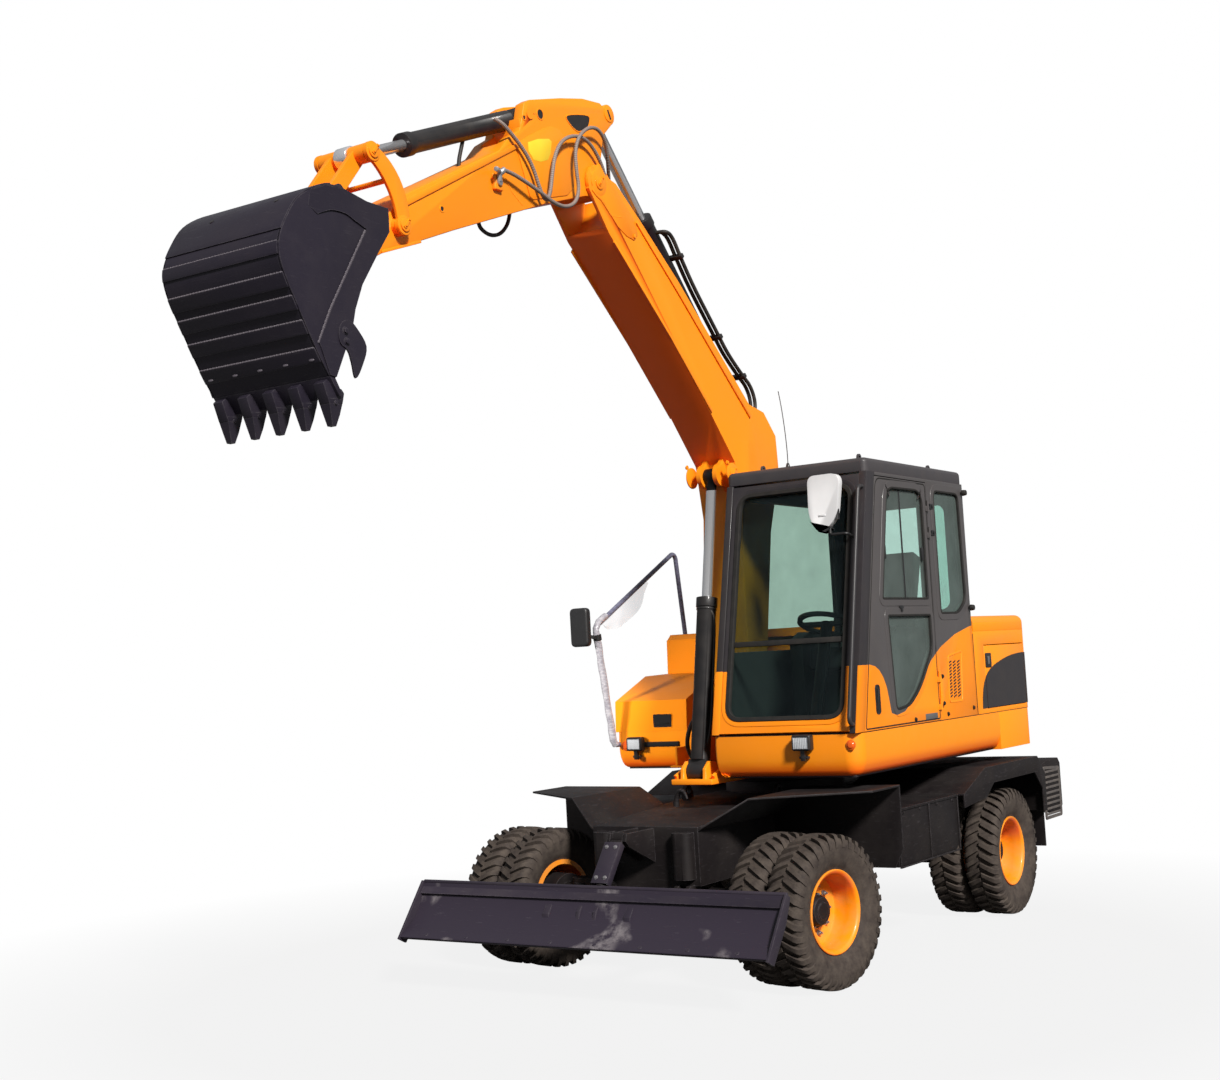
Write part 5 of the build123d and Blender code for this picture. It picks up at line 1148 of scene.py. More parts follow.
finish_piece(pin_bm, "boom_pins", "boom", orange_paint, 32)

# %% Hose boss on the arm
boss_bm, fitting_bm = bmesh.new(), bmesh.new()
add_block(boss_bm, (0.132, -1.642, 4.486), (0.030, 0.070, 0.062), None, 0.008, 3)
add_block(boss_bm, (0.130, -1.640, 4.530), (0.020, 0.086, 0.030), None, 0.005, 3)
add_round(fitting_bm, (0.128, -1.642, 4.500), (0.158, -1.642, 4.500), 0.020, 24, bevel=0.002)
add_round(fitting_bm, (0.150, -1.642, 4.500), (0.150, -1.642, 4.556), 0.015, 6, bevel=0.001)
add_round(fitting_bm, (0.150, -1.642, 4.545), (0.165, -1.612, 4.574), 0.017, 20, bevel=0.002)
add_round(fitting_bm, (0.158, -1.650, 4.560), (0.190, -1.720, 4.548), 0.015, 6, bevel=0.001)
finish_piece(boss_bm, "hose_boss", "arm", orange_paint, 32)
finish_piece(fitting_bm, "hose_boss_fittings", "arm", steel, 32)

# %% [markdown]
# On the machine, a hose that crosses a joint is held at both ends and bends as the joint turns. Each here is
# a smooth curve through a few given points, made a mesh; one that crosses a joint is left where it is made,
# on no body. The sleeve is a wound wire: a fine ring pattern runs round the hose.

# %% Wound sleeve
def hose_sleeve(name, color, pitch):
    """Rubber hose in a wound sleeve, its rings read from the piece's own UV map."""
    paint = Paint(name, color, 0.5, Specular_IOR_Level=0.35)
    along = paint.add("ShaderNodeTexCoord", out="UV")
    rings = paint.add("ShaderNodeSeparateXYZ", None, along, out="X") * pitch
    ridge = paint.add("ShaderNodeMath", {"operation": "SINE"}, rings)
    dirt = paint.noise(30.0, 4).above(0.5, 0.2)
    pale = tuple(c * 1.7 for c in color)
    paint.set("Base Color", paint.blend(ridge.above(0.2, 0.5), color, pale))
    paint.set("Roughness", 0.42 + 0.25 * dirt)
    return paint.bump(ridge, 0.0004).material


sleeve = hose_sleeve("sleeve", (0.17, 0.135, 0.120), 900.0)
print("paints:", len(bpy.data.materials), "so far")

# %% A hose
def hose(
    name, points, radius, body, end_body=None, start=None, end=None, material=None, slot="cylinder_black",
):
    """A smooth hose as a mesh with UVs, on a body; with an end body it is left on no body."""
    carrier = new_object(name + "_line", pipe_curve(name + "_line", points, radius, 3, 8))
    depsgraph = bpy.context.evaluated_depsgraph_get()
    mesh = bpy.data.meshes.new_from_object(carrier.evaluated_get(depsgraph))
    bpy.data.objects.remove(carrier)
    mesh.name = name
    mesh.shade_smooth()
    mesh.materials.clear()
    mesh.materials.append(material or sleeve)
    piece = new_object(name, mesh)
    if end_body:
        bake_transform(piece)
    else:
        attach(piece, body)
    print(f"{name}: {len(mesh.polygons)} faces, from {body} to {end_body or body}")

# %% Hoses past the arm joint
crossing = dict(start=(0.18, -0.66, 4.85), end=(0.18, -1.30, 4.70))
hose("arm_hose_outer", [
    (0.060, -0.430, 4.760), (0.120, -0.520, 4.850), (0.168, -0.600, 4.960), (0.178, -0.690, 5.018),
    (0.180, -0.795, 5.004), (0.182, -0.905, 4.925), (0.185, -0.958, 4.820), (0.188, -0.958, 4.700),
    (0.188, -0.940, 4.600), (0.190, -0.985, 4.510), (0.190, -1.090, 4.462), (0.190, -1.210, 4.468),
    (0.188, -1.310, 4.500), (0.180, -1.430, 4.535), (0.170, -1.560, 4.566), (0.166, -1.620, 4.568),
], 0.0112, "boom", "arm", **crossing)
hose("arm_hose_inner", [
    (0.080, -0.480, 4.640), (0.130, -0.560, 4.700), (0.158, -0.640, 4.815), (0.162, -0.742, 4.905),
    (0.165, -0.840, 4.936), (0.168, -0.960, 4.915), (0.170, -1.065, 4.860), (0.172, -1.140, 4.765),
    (0.172, -1.178, 4.640), (0.170, -1.205, 4.520), (0.168, -1.245, 4.470), (0.165, -1.290, 4.520),
    (0.162, -1.345, 4.650), (0.158, -1.425, 4.735), (0.150, -1.520, 4.802), (0.140, -1.590, 4.850),
    (0.110, -1.610, 4.868),
], 0.0112, "boom", "arm", **crossing)

hose("arm_loop", [
    (0, -1.655, 4.330), (0, -1.655, 4.290), (0, -1.610, 4.262), (0, -1.545, 4.252), (0, -1.470, 4.272),
    (0, -1.410, 4.320), (0, -1.372, 4.380), (0, -1.360, 4.440),
], 0.011, "arm", material=hose_rubber)
hose("bucket_cylinder_hose", [
    (0.0, -1.800, 4.565), (0.0, -1.800, 4.610), (0.0, -1.775, 4.680), (0.0, -1.755, 4.735),
    (0.0, -1.740, 4.775),
], 0.011, "arm", "bucket_cylinder_barrel", (0, -1.800, 4.600), (0, -1.755, 4.740), hose_rubber)

# %% [markdown]
# Two black pipes rise from the boom and run beside the arm cylinder, held by clamps.

# %% Pipes beside the arm cylinder
PIPE_RUN = [
    (1.075, 3.434), (1.104, 3.523), (1.104, 3.602), (1.050, 3.686), (0.961, 3.736), (0.773, 3.865),
    (0.674, 3.964), (0.565, 4.072), (0.387, 4.246), (0.238, 4.424), (0.159, 4.533), (0.095, 4.560),
]
PORT = [(0.075, 0.078, 4.562), (0.045, 0.078, 4.562)]
for x in (0.096, 0.130):
    hose(f"arm_cylinder_pipe_{round(x * 1000)}", [(x, *place) for place in PIPE_RUN] + PORT, 0.0125,
         "boom", "arm_cylinder_barrel", (x, 1.110, 3.590), (x, 0.961, 3.736), hose_rubber)
clamp_bm = bmesh.new()
for (y, z), reach in ((PIPE_RUN[4], 0.0), (PIPE_RUN[6], 0.052), (PIPE_RUN[9], 0.052)):
    add_block(
        clamp_bm, ((reach + 0.150) / 2, y, z), (0.150 - reach, 0.030, 0.034),
        Matrix.Rotation(radians(-45), 3, "X"), 0.004)
finish_piece(clamp_bm, "arm_cylinder_clamps", "arm_cylinder_barrel", trim_paint)

# %% [markdown]
# ## Cab
# The cab's lower part is covered by an orange panel whose top edge sweeps up towards the rear,
# and it continues over the door. Door and wall share one material, which finds the sweep from
# the place of each point, so the line stays whole when the door is shut and nothing extra has
# to swing with it.

# %% Two-tone cab paint
SWEEP = [
    (0.000, 1.783), (0.456, 1.783), (0.530, 1.772), (0.590, 1.745), (0.640, 1.700), (0.680, 1.640),
    (0.705, 1.560), (0.725, 1.478), (0.800, 1.462), (0.920, 1.478), (0.985, 1.510), (1.100, 1.580),
    (1.230, 1.680), (1.376, 1.782), (1.560, 1.866), (1.808, 1.943), (2.059, 1.990), (2.300, 2.020),
]
PILLAR_GREY, WALL_GREY = (0.026, 0.023, 0.026), (0.072, 0.066, 0.067)
REACH, FOOT_Z = 2.3, 1.3             # the sweep's curve node spans 0 to 1 each way


def two_tone(name, grey, front, roughness=0.40, skin=-2.0):
    """Orange below the sweep and outside of skin, grey above it, and a front pillar's grey."""
    paint = Paint(name, ORANGE, roughness, Coat_Weight=0.1, Coat_Roughness=0.12, Specular_IOR_Level=0.3)
    curve = paint.add("ShaderNodeFloatCurve", None, 1.0, paint.axis("Y") / REACH)
    mapping = curve.socket.node.mapping
    line = mapping.curves[0]
    line.points[0].location = (0, SWEEP[0][1] - FOOT_Z)
    line.points[1].location = (1, SWEEP[-1][1] - FOOT_Z)
    for y, z in SWEEP[1:-1]:
        line.points.new(y / REACH, z - FOOT_Z).handle_type = "VECTOR"
    mapping.update()
    orange = 1 - (paint.axis("Z") - FOOT_Z - curve).above(0.0, 0.0015)
    orange = orange * paint.axis("X").above(skin)
    cloud = paint.noise(2.2, 4)
    pillar = (paint.axis("Y") - 0.2348 * paint.axis("Z")).above(0.0127, 0.001)
    top = paint.blend(pillar, front, paint.blend(cloud, grey, tuple(c * 0.8 for c in grey)))
    low = paint.blend(cloud, ORANGE, DEEP_ORANGE)
    film = paint.noise(9.0, 6).above(0.55, 0.18)
    paint.set("Base Color", paint.blend(film * 0.02, paint.blend(orange, top, low), DUST))
    paint.set("Roughness", roughness + 0.1 * film)
    return paint.bump(orange + 0.1 * paint.noise(60.0, 2), 0.004).material

# %% Cab walls and door
door_paint = two_tone("door_paint", WALL_GREY, PILLAR_GREY, skin=1.140)
frame_paint = two_tone("frame_paint", PILLAR_GREY, PILLAR_GREY)
soften("cab_left", door_paint, 0.006)
soften("cab_door", door_paint, 0.005)
soften("cab_front", frame_paint, 0.006)
soften("cab_right", cab_paint, 0.006)

# %% [markdown]
# A window is a hole with sharp corners in the CAD. A flat ring with rounded corners lies over
# its rim, and a rubber seal lies on the ring's inner edge.

# %% Places on the cab
SIDE_X = 1.150


def on_side(y, z, height):
    """A point on the cab side, this far out of it."""
    return (SIDE_X + height, y, z)


SLOPE_RUN = Vector((0, 0.370, 1.576)).normalized()
SLOPE_OUT = Vector((0, -SLOPE_RUN.z, SLOPE_RUN.y))


def on_slope(x, s, height):
    """A point on the leaning windscreen: s goes up along it, height stands out of it."""
    return Vector((x, 0.222, 1.390)) + SLOPE_RUN * s + SLOPE_OUT * height


print("windscreen leans back", round(90 - SLOPE_RUN.angle(Vector((0, 1, 0))) * 180 / pi, 1), "degrees")

# %% Window outlines
BAND = [(0.0, -0.014), (0.0, 0.0015), (0.0015, 0.003), (0.043, 0.003), (0.045, 0.0005), (0.045, -0.004)]
SEAL = [(-0.010, -0.016), (-0.010, 0.002), (-0.007, 0.0055), (0.002, 0.0055), (0.005, 0.002)]
UPPER = rounded([
    (0.700, 2.178, 0.02), (0.850, 2.835, 0.05), (0.905, 2.882, 0.05), (1.345, 2.887, 0.05),
    (1.406, 2.835, 0.05), (1.404, 2.178, 0.02),
])
LOWER = rounded([
    (0.757, 2.078, 0.02), (1.418, 2.078, 0.02), (1.418, 1.846, 0.06), (1.185, 1.610, 0.10),
    (1.005, 1.508, 0.06), (0.797, 1.490, 0.05),
])
QUARTER = rounded([
    (1.592, 2.083, 0.03), (1.592, 2.897, 0.06), (2.020, 2.897, 0.06), (2.041, 2.168, 0.06),
    (1.900, 2.083, 0.06),
])
SCREEN = rounded([(0.258, 0.092), (0.258, 1.548), (1.057, 1.548), (1.057, 0.092)], 0.105, 10)
print("points round the windows:", [len(line) for line in (UPPER, LOWER, QUARTER, SCREEN)])

# %% Door windows
door_bm, seal_bm = bmesh.new(), bmesh.new()
for line in (UPPER, LOWER):
    add_ring(door_bm, BAND, line, on_side)
    add_ring(seal_bm, SEAL, line, on_side)
finish_piece(door_bm, "door_window_rings", "cab_door", door_paint)
finish_piece(seal_bm, "door_seals", "cab_door", seal_rubber)

# %% Quarter window and windscreen
SCREEN_BAND = [(0.0, -0.018), (0.0, 0.002), (0.002, 0.0035), (0.036, 0.0035), (0.038, 0.0), (0.038, -0.003)]
SCREEN_SEAL = [(-0.022, -0.020), (-0.022, 0.004), (-0.018, 0.010), (0.004, 0.010), (0.008, 0.003)]
wall_bm, screen_bm, seal_bm = bmesh.new(), bmesh.new(), bmesh.new()
add_ring(wall_bm, BAND, QUARTER, on_side)
finish_piece(wall_bm, "quarter_window_ring", "house", door_paint)
pane_bm = bmesh.new()
add_prism(pane_bm, QUARTER, 1.1370, 1.1385)
finish_piece(pane_bm, "quarter_window_film", "house", side_glazing)
add_ring(seal_bm, SEAL, QUARTER, on_side)
add_ring(screen_bm, SCREEN_BAND, SCREEN, on_slope)
finish_piece(screen_bm, "screen_ring", "house", frame_paint)
add_ring(seal_bm, SCREEN_SEAL, SCREEN, on_slope)
turn = Matrix((Vector((1, 0, 0)), SLOPE_RUN, SLOPE_OUT)).transposed()
add_block(seal_bm, on_slope(0.6575, 0.574, -0.012), (0.810, 0.034, 0.012), turn, 0.003)
finish_piece(seal_bm, "cab_seals", "house", seal_rubber)

# %% Corner strip and the door's edge
strip_bm = bmesh.new()
add_block(strip_bm, on_slope(0.189, 0.206, 0.001), (0.050, 0.400, 0.006), turn, 0.002)
finish_piece(strip_bm, "front_corner_strip", "house", orange_paint)
rim_bm = bmesh.new()
rim = rounded([(0.352, 1.402, 0.02), (0.709, 2.930, 0.07), (1.466, 2.930, 0.03), (1.466, 1.402, 0.02)])
add_ring(rim_bm, [(-0.005, -0.001), (-0.004, 0.002), (0.003, 0.002), (0.004, -0.001)], rim, on_side)
finish_piece(rim_bm, "door_edge_seal", "cab_door", seal_rubber)

# %% [markdown]
# ## Small parts of the cab
# Handles, hinges, seals and knobs are blocks and bolts. Those on the door ride on the door.

# %% Door handle and window latches
black_bm = bmesh.new()
# recessed door handle: a dark cup with a lever across it
cup = rounded([(0.512, 1.487), (0.512, 1.655), (0.566, 1.655), (0.566, 1.487)], 0.02)
add_ring(black_bm, [(-0.003, -0.004), (-0.002, 0.003), (0.004, 0.0045), (0.006, -0.001)], cup, on_side)
add_prism(black_bm, cup, 1.1485, 1.1512)
add_block(black_bm, (1.156, 0.533, 1.571), (0.008, 0.020, 0.130), Matrix.Rotation(-0.22, 3, "X"), 0.003)
# latch and handles of the sliding upper window
add_block(black_bm, (1.154, 0.965, 2.128), (0.012, 0.056, 0.020), None, 0.004)
add_block(black_bm, (1.157, 0.965, 2.112), (0.010, 0.022, 0.026), None, 0.003)
for y in (0.785, 1.362):
    add_block(black_bm, (1.146, y, 2.470), (0.014, 0.026, 0.085), None, 0.004)
add_block(black_bm, (1.137, 1.075, 2.530), (0.006, 0.016, 0.700), None, 0.001)
finish_piece(black_bm, "door_handle", "cab_door", black_plastic)

# %% Upper hinges, grab recess and rubber knobs
hinge_bm, orange_bm, knob_bm = bmesh.new(), bmesh.new(), bmesh.new()
for z in (2.613, 2.788):
    add_block(hinge_bm, (1.153, 1.535, z), (0.010, 0.070, 0.036), None, 0.003)
    add_bolt(hinge_bm, (1.158, 1.550, z), (1, 0, 0), 0.008, 0.006)
grab = rounded([(1.488, 1.488), (1.488, 1.680), (1.545, 1.680), (1.545, 1.488)], 0.022)
add_prism(orange_bm, grab, 1.1485, 1.1620, bevel=0.006, segments=3)
for x, y, z in (
    (1.162, 1.517, 1.672), (1.162, 1.517, 1.496), (1.150, 2.045, 1.441), (1.150, 1.600, 1.423),
    (1.150, 1.075, 1.418),
):
    add_bolt(knob_bm, (x, y, z), (1, 0, 0), 0.011, 0.010)
finish_piece(hinge_bm, "door_hinges", "house", black_plastic)
finish_piece(orange_bm, "grab_recess", "house", orange_paint)
# rubber stops that catch the open door
for z in (2.118, 2.905):
    add_round(knob_bm, (1.148, 2.086, z), (1.166, 2.086, z), 0.011, 12)
    add_round(knob_bm, (1.160, 2.086, z), (1.190, 2.086, z), 0.022, 20, 0.018, 0.004)
finish_piece(knob_bm, "cab_knobs", "house", seal_rubber)

# %% [markdown]
# The side panel breathes through rows of slots. The grille behind it is cut at both edges of
# the side door, so that its middle part swings along; its rear part bends round the corner.

# %% Louvres in the side panel
panel_bm, slot_bm = bmesh.new(), bmesh.new()
panel = rounded([(1.635, 1.492), (1.655, 1.805), (1.905, 1.838), (1.868, 1.492)], 0.03)
add_ring(panel_bm, [(0.0, -0.001), (-0.002, 0.0035), (-0.012, 0.0035), (-0.015, -0.001)], panel, on_side)
ROWS, COLUMNS = 12, 3
turn = Matrix.Rotation(atan2(0.30, 1), 3, "X")
# painted shade: each slot is a dark block on the panel, for the shaded opening behind it
for row in range(ROWS):
    z = 1.535 + 0.0205 * row
    for column in range(COLUMNS):
        y = 1.672 + 0.070 * column + 0.0015 * row
        add_block(slot_bm, (1.1508, y, z), (0.0030, 0.048, 0.0095), turn, 0.001)
finish_piece(panel_bm, "louvre_panel", "house", orange_paint)
finish_piece(slot_bm, "louvre_slots", "house", black_plastic)

# %% Dark grille panel, cut where the door parts from the wall
GRILLE = smooth_line([
    (2.212, 1.425), (2.222, 1.500), (2.262, 1.592), (2.345, 1.668), (2.470, 1.715), (2.640, 1.752),
    (2.820, 1.778), (3.020, 1.790), (3.150, 1.786),
], 3)
GRILLE += [Vector((3.248, 1.785)), Vector((3.248, 1.425))]
CORNER_Y, CORNER_R = 3.060, 0.120
for name, body, low, high in (
    ("grille_front", "house", 2.20, 2.294), ("grille_door", "side_door", 2.306, 3.054),
    ("grille_rear", "house", 3.066, 3.26),
):
    grille_bm = bmesh.new()
    add_prism(grille_bm, GRILLE, 1.1490, 1.1540)
    cuts = [(low, (0, -1, 0), True), (high, (0, 1, 0), True)]
    if name == "grille_rear":            # more cuts, for the bend round the corner
        cuts += [(CORNER_Y + 0.02 * k, (0, 1, 0), False) for k in range(1, 10)]
    for y, way, clear in cuts:
        everything = grille_bm.verts[:] + grille_bm.edges[:] + grille_bm.faces[:]
        cut = bmesh.ops.bisect_plane(
            grille_bm, geom=everything, plane_co=(0, y, 0), plane_no=way, clear_outer=clear)
        rim = [e for e in cut["geom_cut"] if isinstance(e, bmesh.types.BMEdge)]
        if rim and clear:
            bmesh.ops.contextual_create(grille_bm, geom=rim)
    for vert in grille_bm.verts:
        if vert.co.y > CORNER_Y:
            turn = (vert.co.y - CORNER_Y) / CORNER_R
            reach = vert.co.x - 1.150 + CORNER_R
            vert.co.x, vert.co.y = 1.150 - CORNER_R + reach * cos(turn), CORNER_Y + reach * sin(turn)
    finish_piece(grille_bm, name, body, cab_paint)

# %% Lock of the side door
lock_bm, face_bm = bmesh.new(), bmesh.new()
lock = rounded([(2.312, 1.702), (2.312, 1.802), (2.418, 1.802), (2.418, 1.702)], 0.010)
add_prism(lock_bm, lock, 1.1490, 1.1560, bevel=0.003)
add_block(face_bm, (1.1565, 2.365, 1.752), (0.004, 0.034, 0.056), None, 0.002)
finish_piece(lock_bm, "door_lock", "side_door", black_plastic)
finish_piece(face_bm, "door_lock_face", "side_door", grey_plastic)

# %% [markdown]
# A lamp is three pieces, because a piece has one material: housing, reflector and lens.

# %% A work lamp
def work_lamp(name, at, foot):
    """Square work lamp: black housing, bright reflector, clear ribbed lens, and its foot."""
    at = Vector(at)
    case_bm, shine_bm, lens_bm = bmesh.new(), bmesh.new(), bmesh.new()
    add_block(case_bm, at + Vector((0, -0.030, 0)), (0.124, 0.056, 0.096), None, 0.012, 3)
    frame_line = rounded([(-0.056, -0.042), (-0.056, 0.042), (0.056, 0.042), (0.056, -0.042)], 0.008)
    place = lambda a, b, height: at + Vector((a, -0.058 - height, b))
    add_ring(
        case_bm, [(0.0, -0.004), (0.0, 0.006), (-0.004, 0.008), (-0.008, 0.006), (-0.008, -0.002)],
        frame_line, place)
    add_block(shine_bm, at + Vector((0, -0.0590, 0)), (0.100, 0.004, 0.072), None, 0.002)
    for k in range(-4, 5):
        add_block(shine_bm, at + Vector((k * 0.0115, -0.0615, 0)), (0.0045, 0.0035, 0.070), None, 0.001)
    add_block(lens_bm, at + Vector((0, -0.0655, 0)), (0.100, 0.003, 0.072), None, 0.001)
    add_block(
        case_bm, Vector((at.x, at.y - 0.030, (at.z + foot) / 2 - 0.02)), (0.030, 0.024, at.z - foot),
        None, 0.004)
    add_block(case_bm, (at.x, at.y - 0.016, foot), (0.060, 0.032, 0.016), None, 0.004)
    add_bolt(case_bm, (at.x, at.y - 0.034, foot), (0, -1, 0), 0.010, 0.010)
    finish_piece(case_bm, name, "house", black_plastic)
    finish_piece(shine_bm, name + "_reflector", "house", white_plastic)
    finish_piece(lens_bm, name + "_lens", "house", lamp_glass)

# %% Two lamps and two markers
def marker(bm, at, radius):
    """Add a round lens marker on a front face."""
    at = Vector(at)
    add_round(bm, at + Vector((0, 0.002, 0)), at + Vector((0, -0.010, 0)), radius, 32, bevel=0.003)
    add_round(
        bm, at + Vector((0, -0.009, 0)), at + Vector((0, -0.016, 0)), radius * 0.8, 32, radius * 0.55,
        0.002)


work_lamp("cab_lamp", (0.797, 0.238, 1.341), 1.252)
work_lamp("tank_lamp", (-0.965, 1.103, 1.303), 1.214)
marker_bm = bmesh.new()
marker(marker_bm, (1.100, 0.240, 1.321), 0.030)
marker(marker_bm, (-1.068, 1.105, 1.289), 0.034)
finish_piece(marker_bm, "markers", "house", amber_lens)

# %% Tank front
recess_bm, dark_bm = bmesh.new(), bmesh.new()
hole = rounded([(-0.829, 1.413), (-0.829, 1.503), (-0.682, 1.503), (-0.682, 1.413)], 0.010)
place = lambda a, b, height: (a, 1.105 + 0.004 - height + (b - 1.39) * 0.055, b)
add_ring(recess_bm, [(-0.001, -0.006), (0.0, 0.006), (0.007, 0.006), (0.009, 0.0)], hole, place)
# painted shade: a dark block fills the recess, for its shaded inside
add_prism(dark_bm, hole, 1.1030, 1.1200, "Y")
add_block(dark_bm, (-0.755, 1.100, 1.440), (0.100, 0.006, 0.012), None, 0.003)
add_block(dark_bm, (-0.775, 1.098, 1.297), (0.300, 0.016, 0.034), None, 0.004)
finish_piece(recess_bm, "tank_recess_rim", "house", orange_paint)
finish_piece(dark_bm, "tank_recess", "house", black_plastic)

# %% Roof, eyes and aerial
tube("aerial", [
    (0.560, 0.700, 3.040), (0.562, 0.702, 3.130), (0.548, 0.712, 3.300), (0.522, 0.728, 3.480),
    (0.500, 0.745, 3.560),
], 0.0028, "house", trim_paint)
roof_bm = bmesh.new()
add_round(roof_bm, (0.560, 0.700, 3.048), (0.560, 0.700, 3.085), 0.018, 20, 0.008, 0.002)
for x in (0.250, 1.060):
    add_round(roof_bm, (x, 1.300, 3.048), (x, 1.300, 3.062), 0.014, 12)
finish_piece(roof_bm, "roof_fittings", "house", trim_paint)

# %% Handrails, half of them wrapped
def part_paint(name, first, second, edge):
    """Two finishes on one piece, parted at a place along X."""
    paint = Paint(name, first, 0.4, Specular_IOR_Level=0.4)
    side = paint.axis("X").above(edge)
    folds = paint.noise(28.0, 5, stretch=(1, 1, 2.5))
    tone = paint.blend(folds.above(0.5, 0.12), tuple(c * 0.6 for c in first), first)
    paint.set("Base Color", paint.blend(side, tone, second))
    return paint.bump(folds * (1 - side), 0.004).material


soften("handrails", part_paint("rail_paint", (0.15, 0.15, 0.22), (0.030, 0.028, 0.030), -0.5), 0)

# %% [markdown]
# The CAD mirrors have plain boxes as heads. The boxes shrink, and shaped housings with rounded
# outlines are laid over them, each with a mirror glass in its face.

# %% Mirror frames
mirror_bm = from_node("mirrors")
MIRROR_AT = Vector((0.970, 0.415, 2.790))
box = [
    v for v in mirror_bm.verts
    if abs(v.co.x - 0.970) < 0.087 and abs(v.co.y - 0.415) < 0.027 and v.co.z > 2.639
]
bmesh.ops.scale(mirror_bm, vec=(0.75, 0.75, 0.80), space=Matrix.Translation(-MIRROR_AT), verts=box)
box = [v for v in mirror_bm.verts if v.co.x < -1.114 and v.co.z > 1.995 and v.co.y < 0.832]
bmesh.ops.scale(
    mirror_bm, vec=(0.85, 0.85, 0.88), space=Matrix.Translation((1.190, -0.800, -2.135)), verts=box)
round_edges(mirror_bm, 0.010, segments=3)
housing = rounded([(-1.265, 2.000), (-1.265, 2.270), (-1.115, 2.270), (-1.115, 2.000)], 0.036, 8)
add_prism(mirror_bm, housing, 0.768, 0.829, "Y", 0.020, 4)
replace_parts(finish_piece(mirror_bm, "mirror_frames", "house", black_plastic), "mirrors")

# %% Mirror shells and glasses
shell_bm, glass_bm = bmesh.new(), bmesh.new()
shell = rounded([
    (0.848, 2.948, 0.05), (1.066, 2.950, 0.07), (1.020, 2.640, 0.10), (0.905, 2.596, 0.08),
    (0.842, 2.680, 0.08),
], steps=10)
add_prism(shell_bm, shell, 0.386, 0.437, "Y", 0.016, 4)
add_block(shell_bm, (0.935, 0.385, 2.700), (0.050, 0.003, 0.012), None, 0.001)
add_prism(glass_bm, grown(shell, -0.014), 0.436, 0.440, "Y", 0.001)
finish_piece(shell_bm, "front_mirror_shell", "house", white_plastic)
finish_piece(glass_bm, "front_mirror_glass", "house", mirror_face)
glass_bm = bmesh.new()
glass = rounded([(-1.250, 2.020), (-1.250, 2.250), (-1.130, 2.250), (-1.130, 2.020)], 0.02)
add_prism(glass_bm, glass, 0.8295, 0.8315, "Y", 0.0006)
finish_piece(glass_bm, "right_mirror_glass", "house", mirror_face)

# %% [markdown]
# ## Lower body
# The orange skirt bulges a little and curls in at its lower edge. It is a profile swept along
# the body's outline, which stands for the flat CAD wall.

# %% A swept skirt
def add_skirt(bm, path, profile):
    """Sweep a closed profile of (outward, z) along an open path, outward on its right."""
    sections = []
    for k, point in enumerate(path):
        before, after = path[max(0, k - 1)], path[min(len(path) - 1, k + 1)]
        run = (after - before).normalized()
        out = Vector((run.y, -run.x))
        sections.append([bm.verts.new((*(point + out * reach), z)) for reach, z in profile])
    add_skin(bm, sections)
    bm.faces.new(sections[0])
    bm.faces.new(sections[-1][::-1])
    bmesh.ops.recalc_face_normals(bm, faces=bm.faces)


def arc(centre, radius, start, end, steps=8):
    """Points on an arc, its angles in degrees."""
    turns = [radians(start + (end - start) * k / steps) for k in range(steps + 1)]
    return [Vector((centre[0] + radius * cos(t), centre[1] + radius * sin(t))) for t in turns]

# %% Skirts of cab and tank
SKIRT = [
    (0.000, 1.3850), (0.002, 1.340), (0.003, 1.290), (0.001, 1.240), (-0.005, 1.205), (-0.016, 1.172),
    (-0.030, 1.150), (-0.050, 1.137), (-0.072, 1.135), (-0.072, 1.140), (-0.050, 1.150), (-0.030, 1.175),
    (-0.022, 1.240), (-0.022, 1.385),
]
cab_side = [Vector((0.168, 1.020)), Vector((0.168, 0.290)), *arc((0.188, 0.260), 0.020, 180, 270, 4)]
cab_side += [
    Vector((0.500, 0.240)), *arc((1.050, 0.340), 0.100, -90, 0, 12), Vector((1.150, 1.4)),
    Vector((1.150, 2.498)),
]
tank_side = [Vector((-1.150, 2.498)), *arc((-1.090, 1.165), 0.060, 180, 270, 10), Vector((-0.365, 1.105))]
skirt_bm = bmesh.new()
add_skirt(skirt_bm, cab_side, SKIRT)
add_skirt(skirt_bm, tank_side, SKIRT)
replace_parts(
    finish_piece(skirt_bm, "lower_body_shell", "house", orange_paint, 50), "lower_body")

# %% Counterweight with a rounded foot
def at_the_foot(edge):
    """True for an edge low down at the rear."""
    return max(v.co.z for v in edge.verts) < 1.13 and max(v.co.y for v in edge.verts) > 2.55


weight_bm = from_node("counterweight")
round_edges(weight_bm, 0.050, segments=5, keep=at_the_foot)
round_edges(weight_bm, 0.008, 40)
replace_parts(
    finish_piece(weight_bm, "counterweight_shell", "house", orange_paint, 30),
    "counterweight")

# %% Seams and small plates on the body
seam_bm, plate_bm = bmesh.new(), bmesh.new()
for points in (
    [(1.1500, 2.118, 1.392), (1.1500, 2.118, 1.940)],
    [(1.1500, 0.345, 1.3875), (1.1500, 2.498, 1.3875), (1.150, 3.050, 1.3875)],
    [(0.210, 0.2400, 1.3865), (1.050, 0.2400, 1.3865)],
):
    for start, end in zip(points, points[1:]):
        add_round(seam_bm, start, end, 0.0022, 6)
finish_piece(seam_bm, "body_seams", "house", seal_rubber)
add_block(plate_bm, (1.1508, 1.330, 1.425), (0.003, 0.190, 0.036), None, 0.001)
finish_piece(plate_bm, "bare_plate", "house", grey_plastic)

# %% [markdown]
# ## Hoses at the foot of the boom
# Hydraulic hoses rise out of the deck between the tank and the lift cylinder. They stay on the
# upper body. A pipe on the lift cylinder carries the oil to that cylinder's far end.

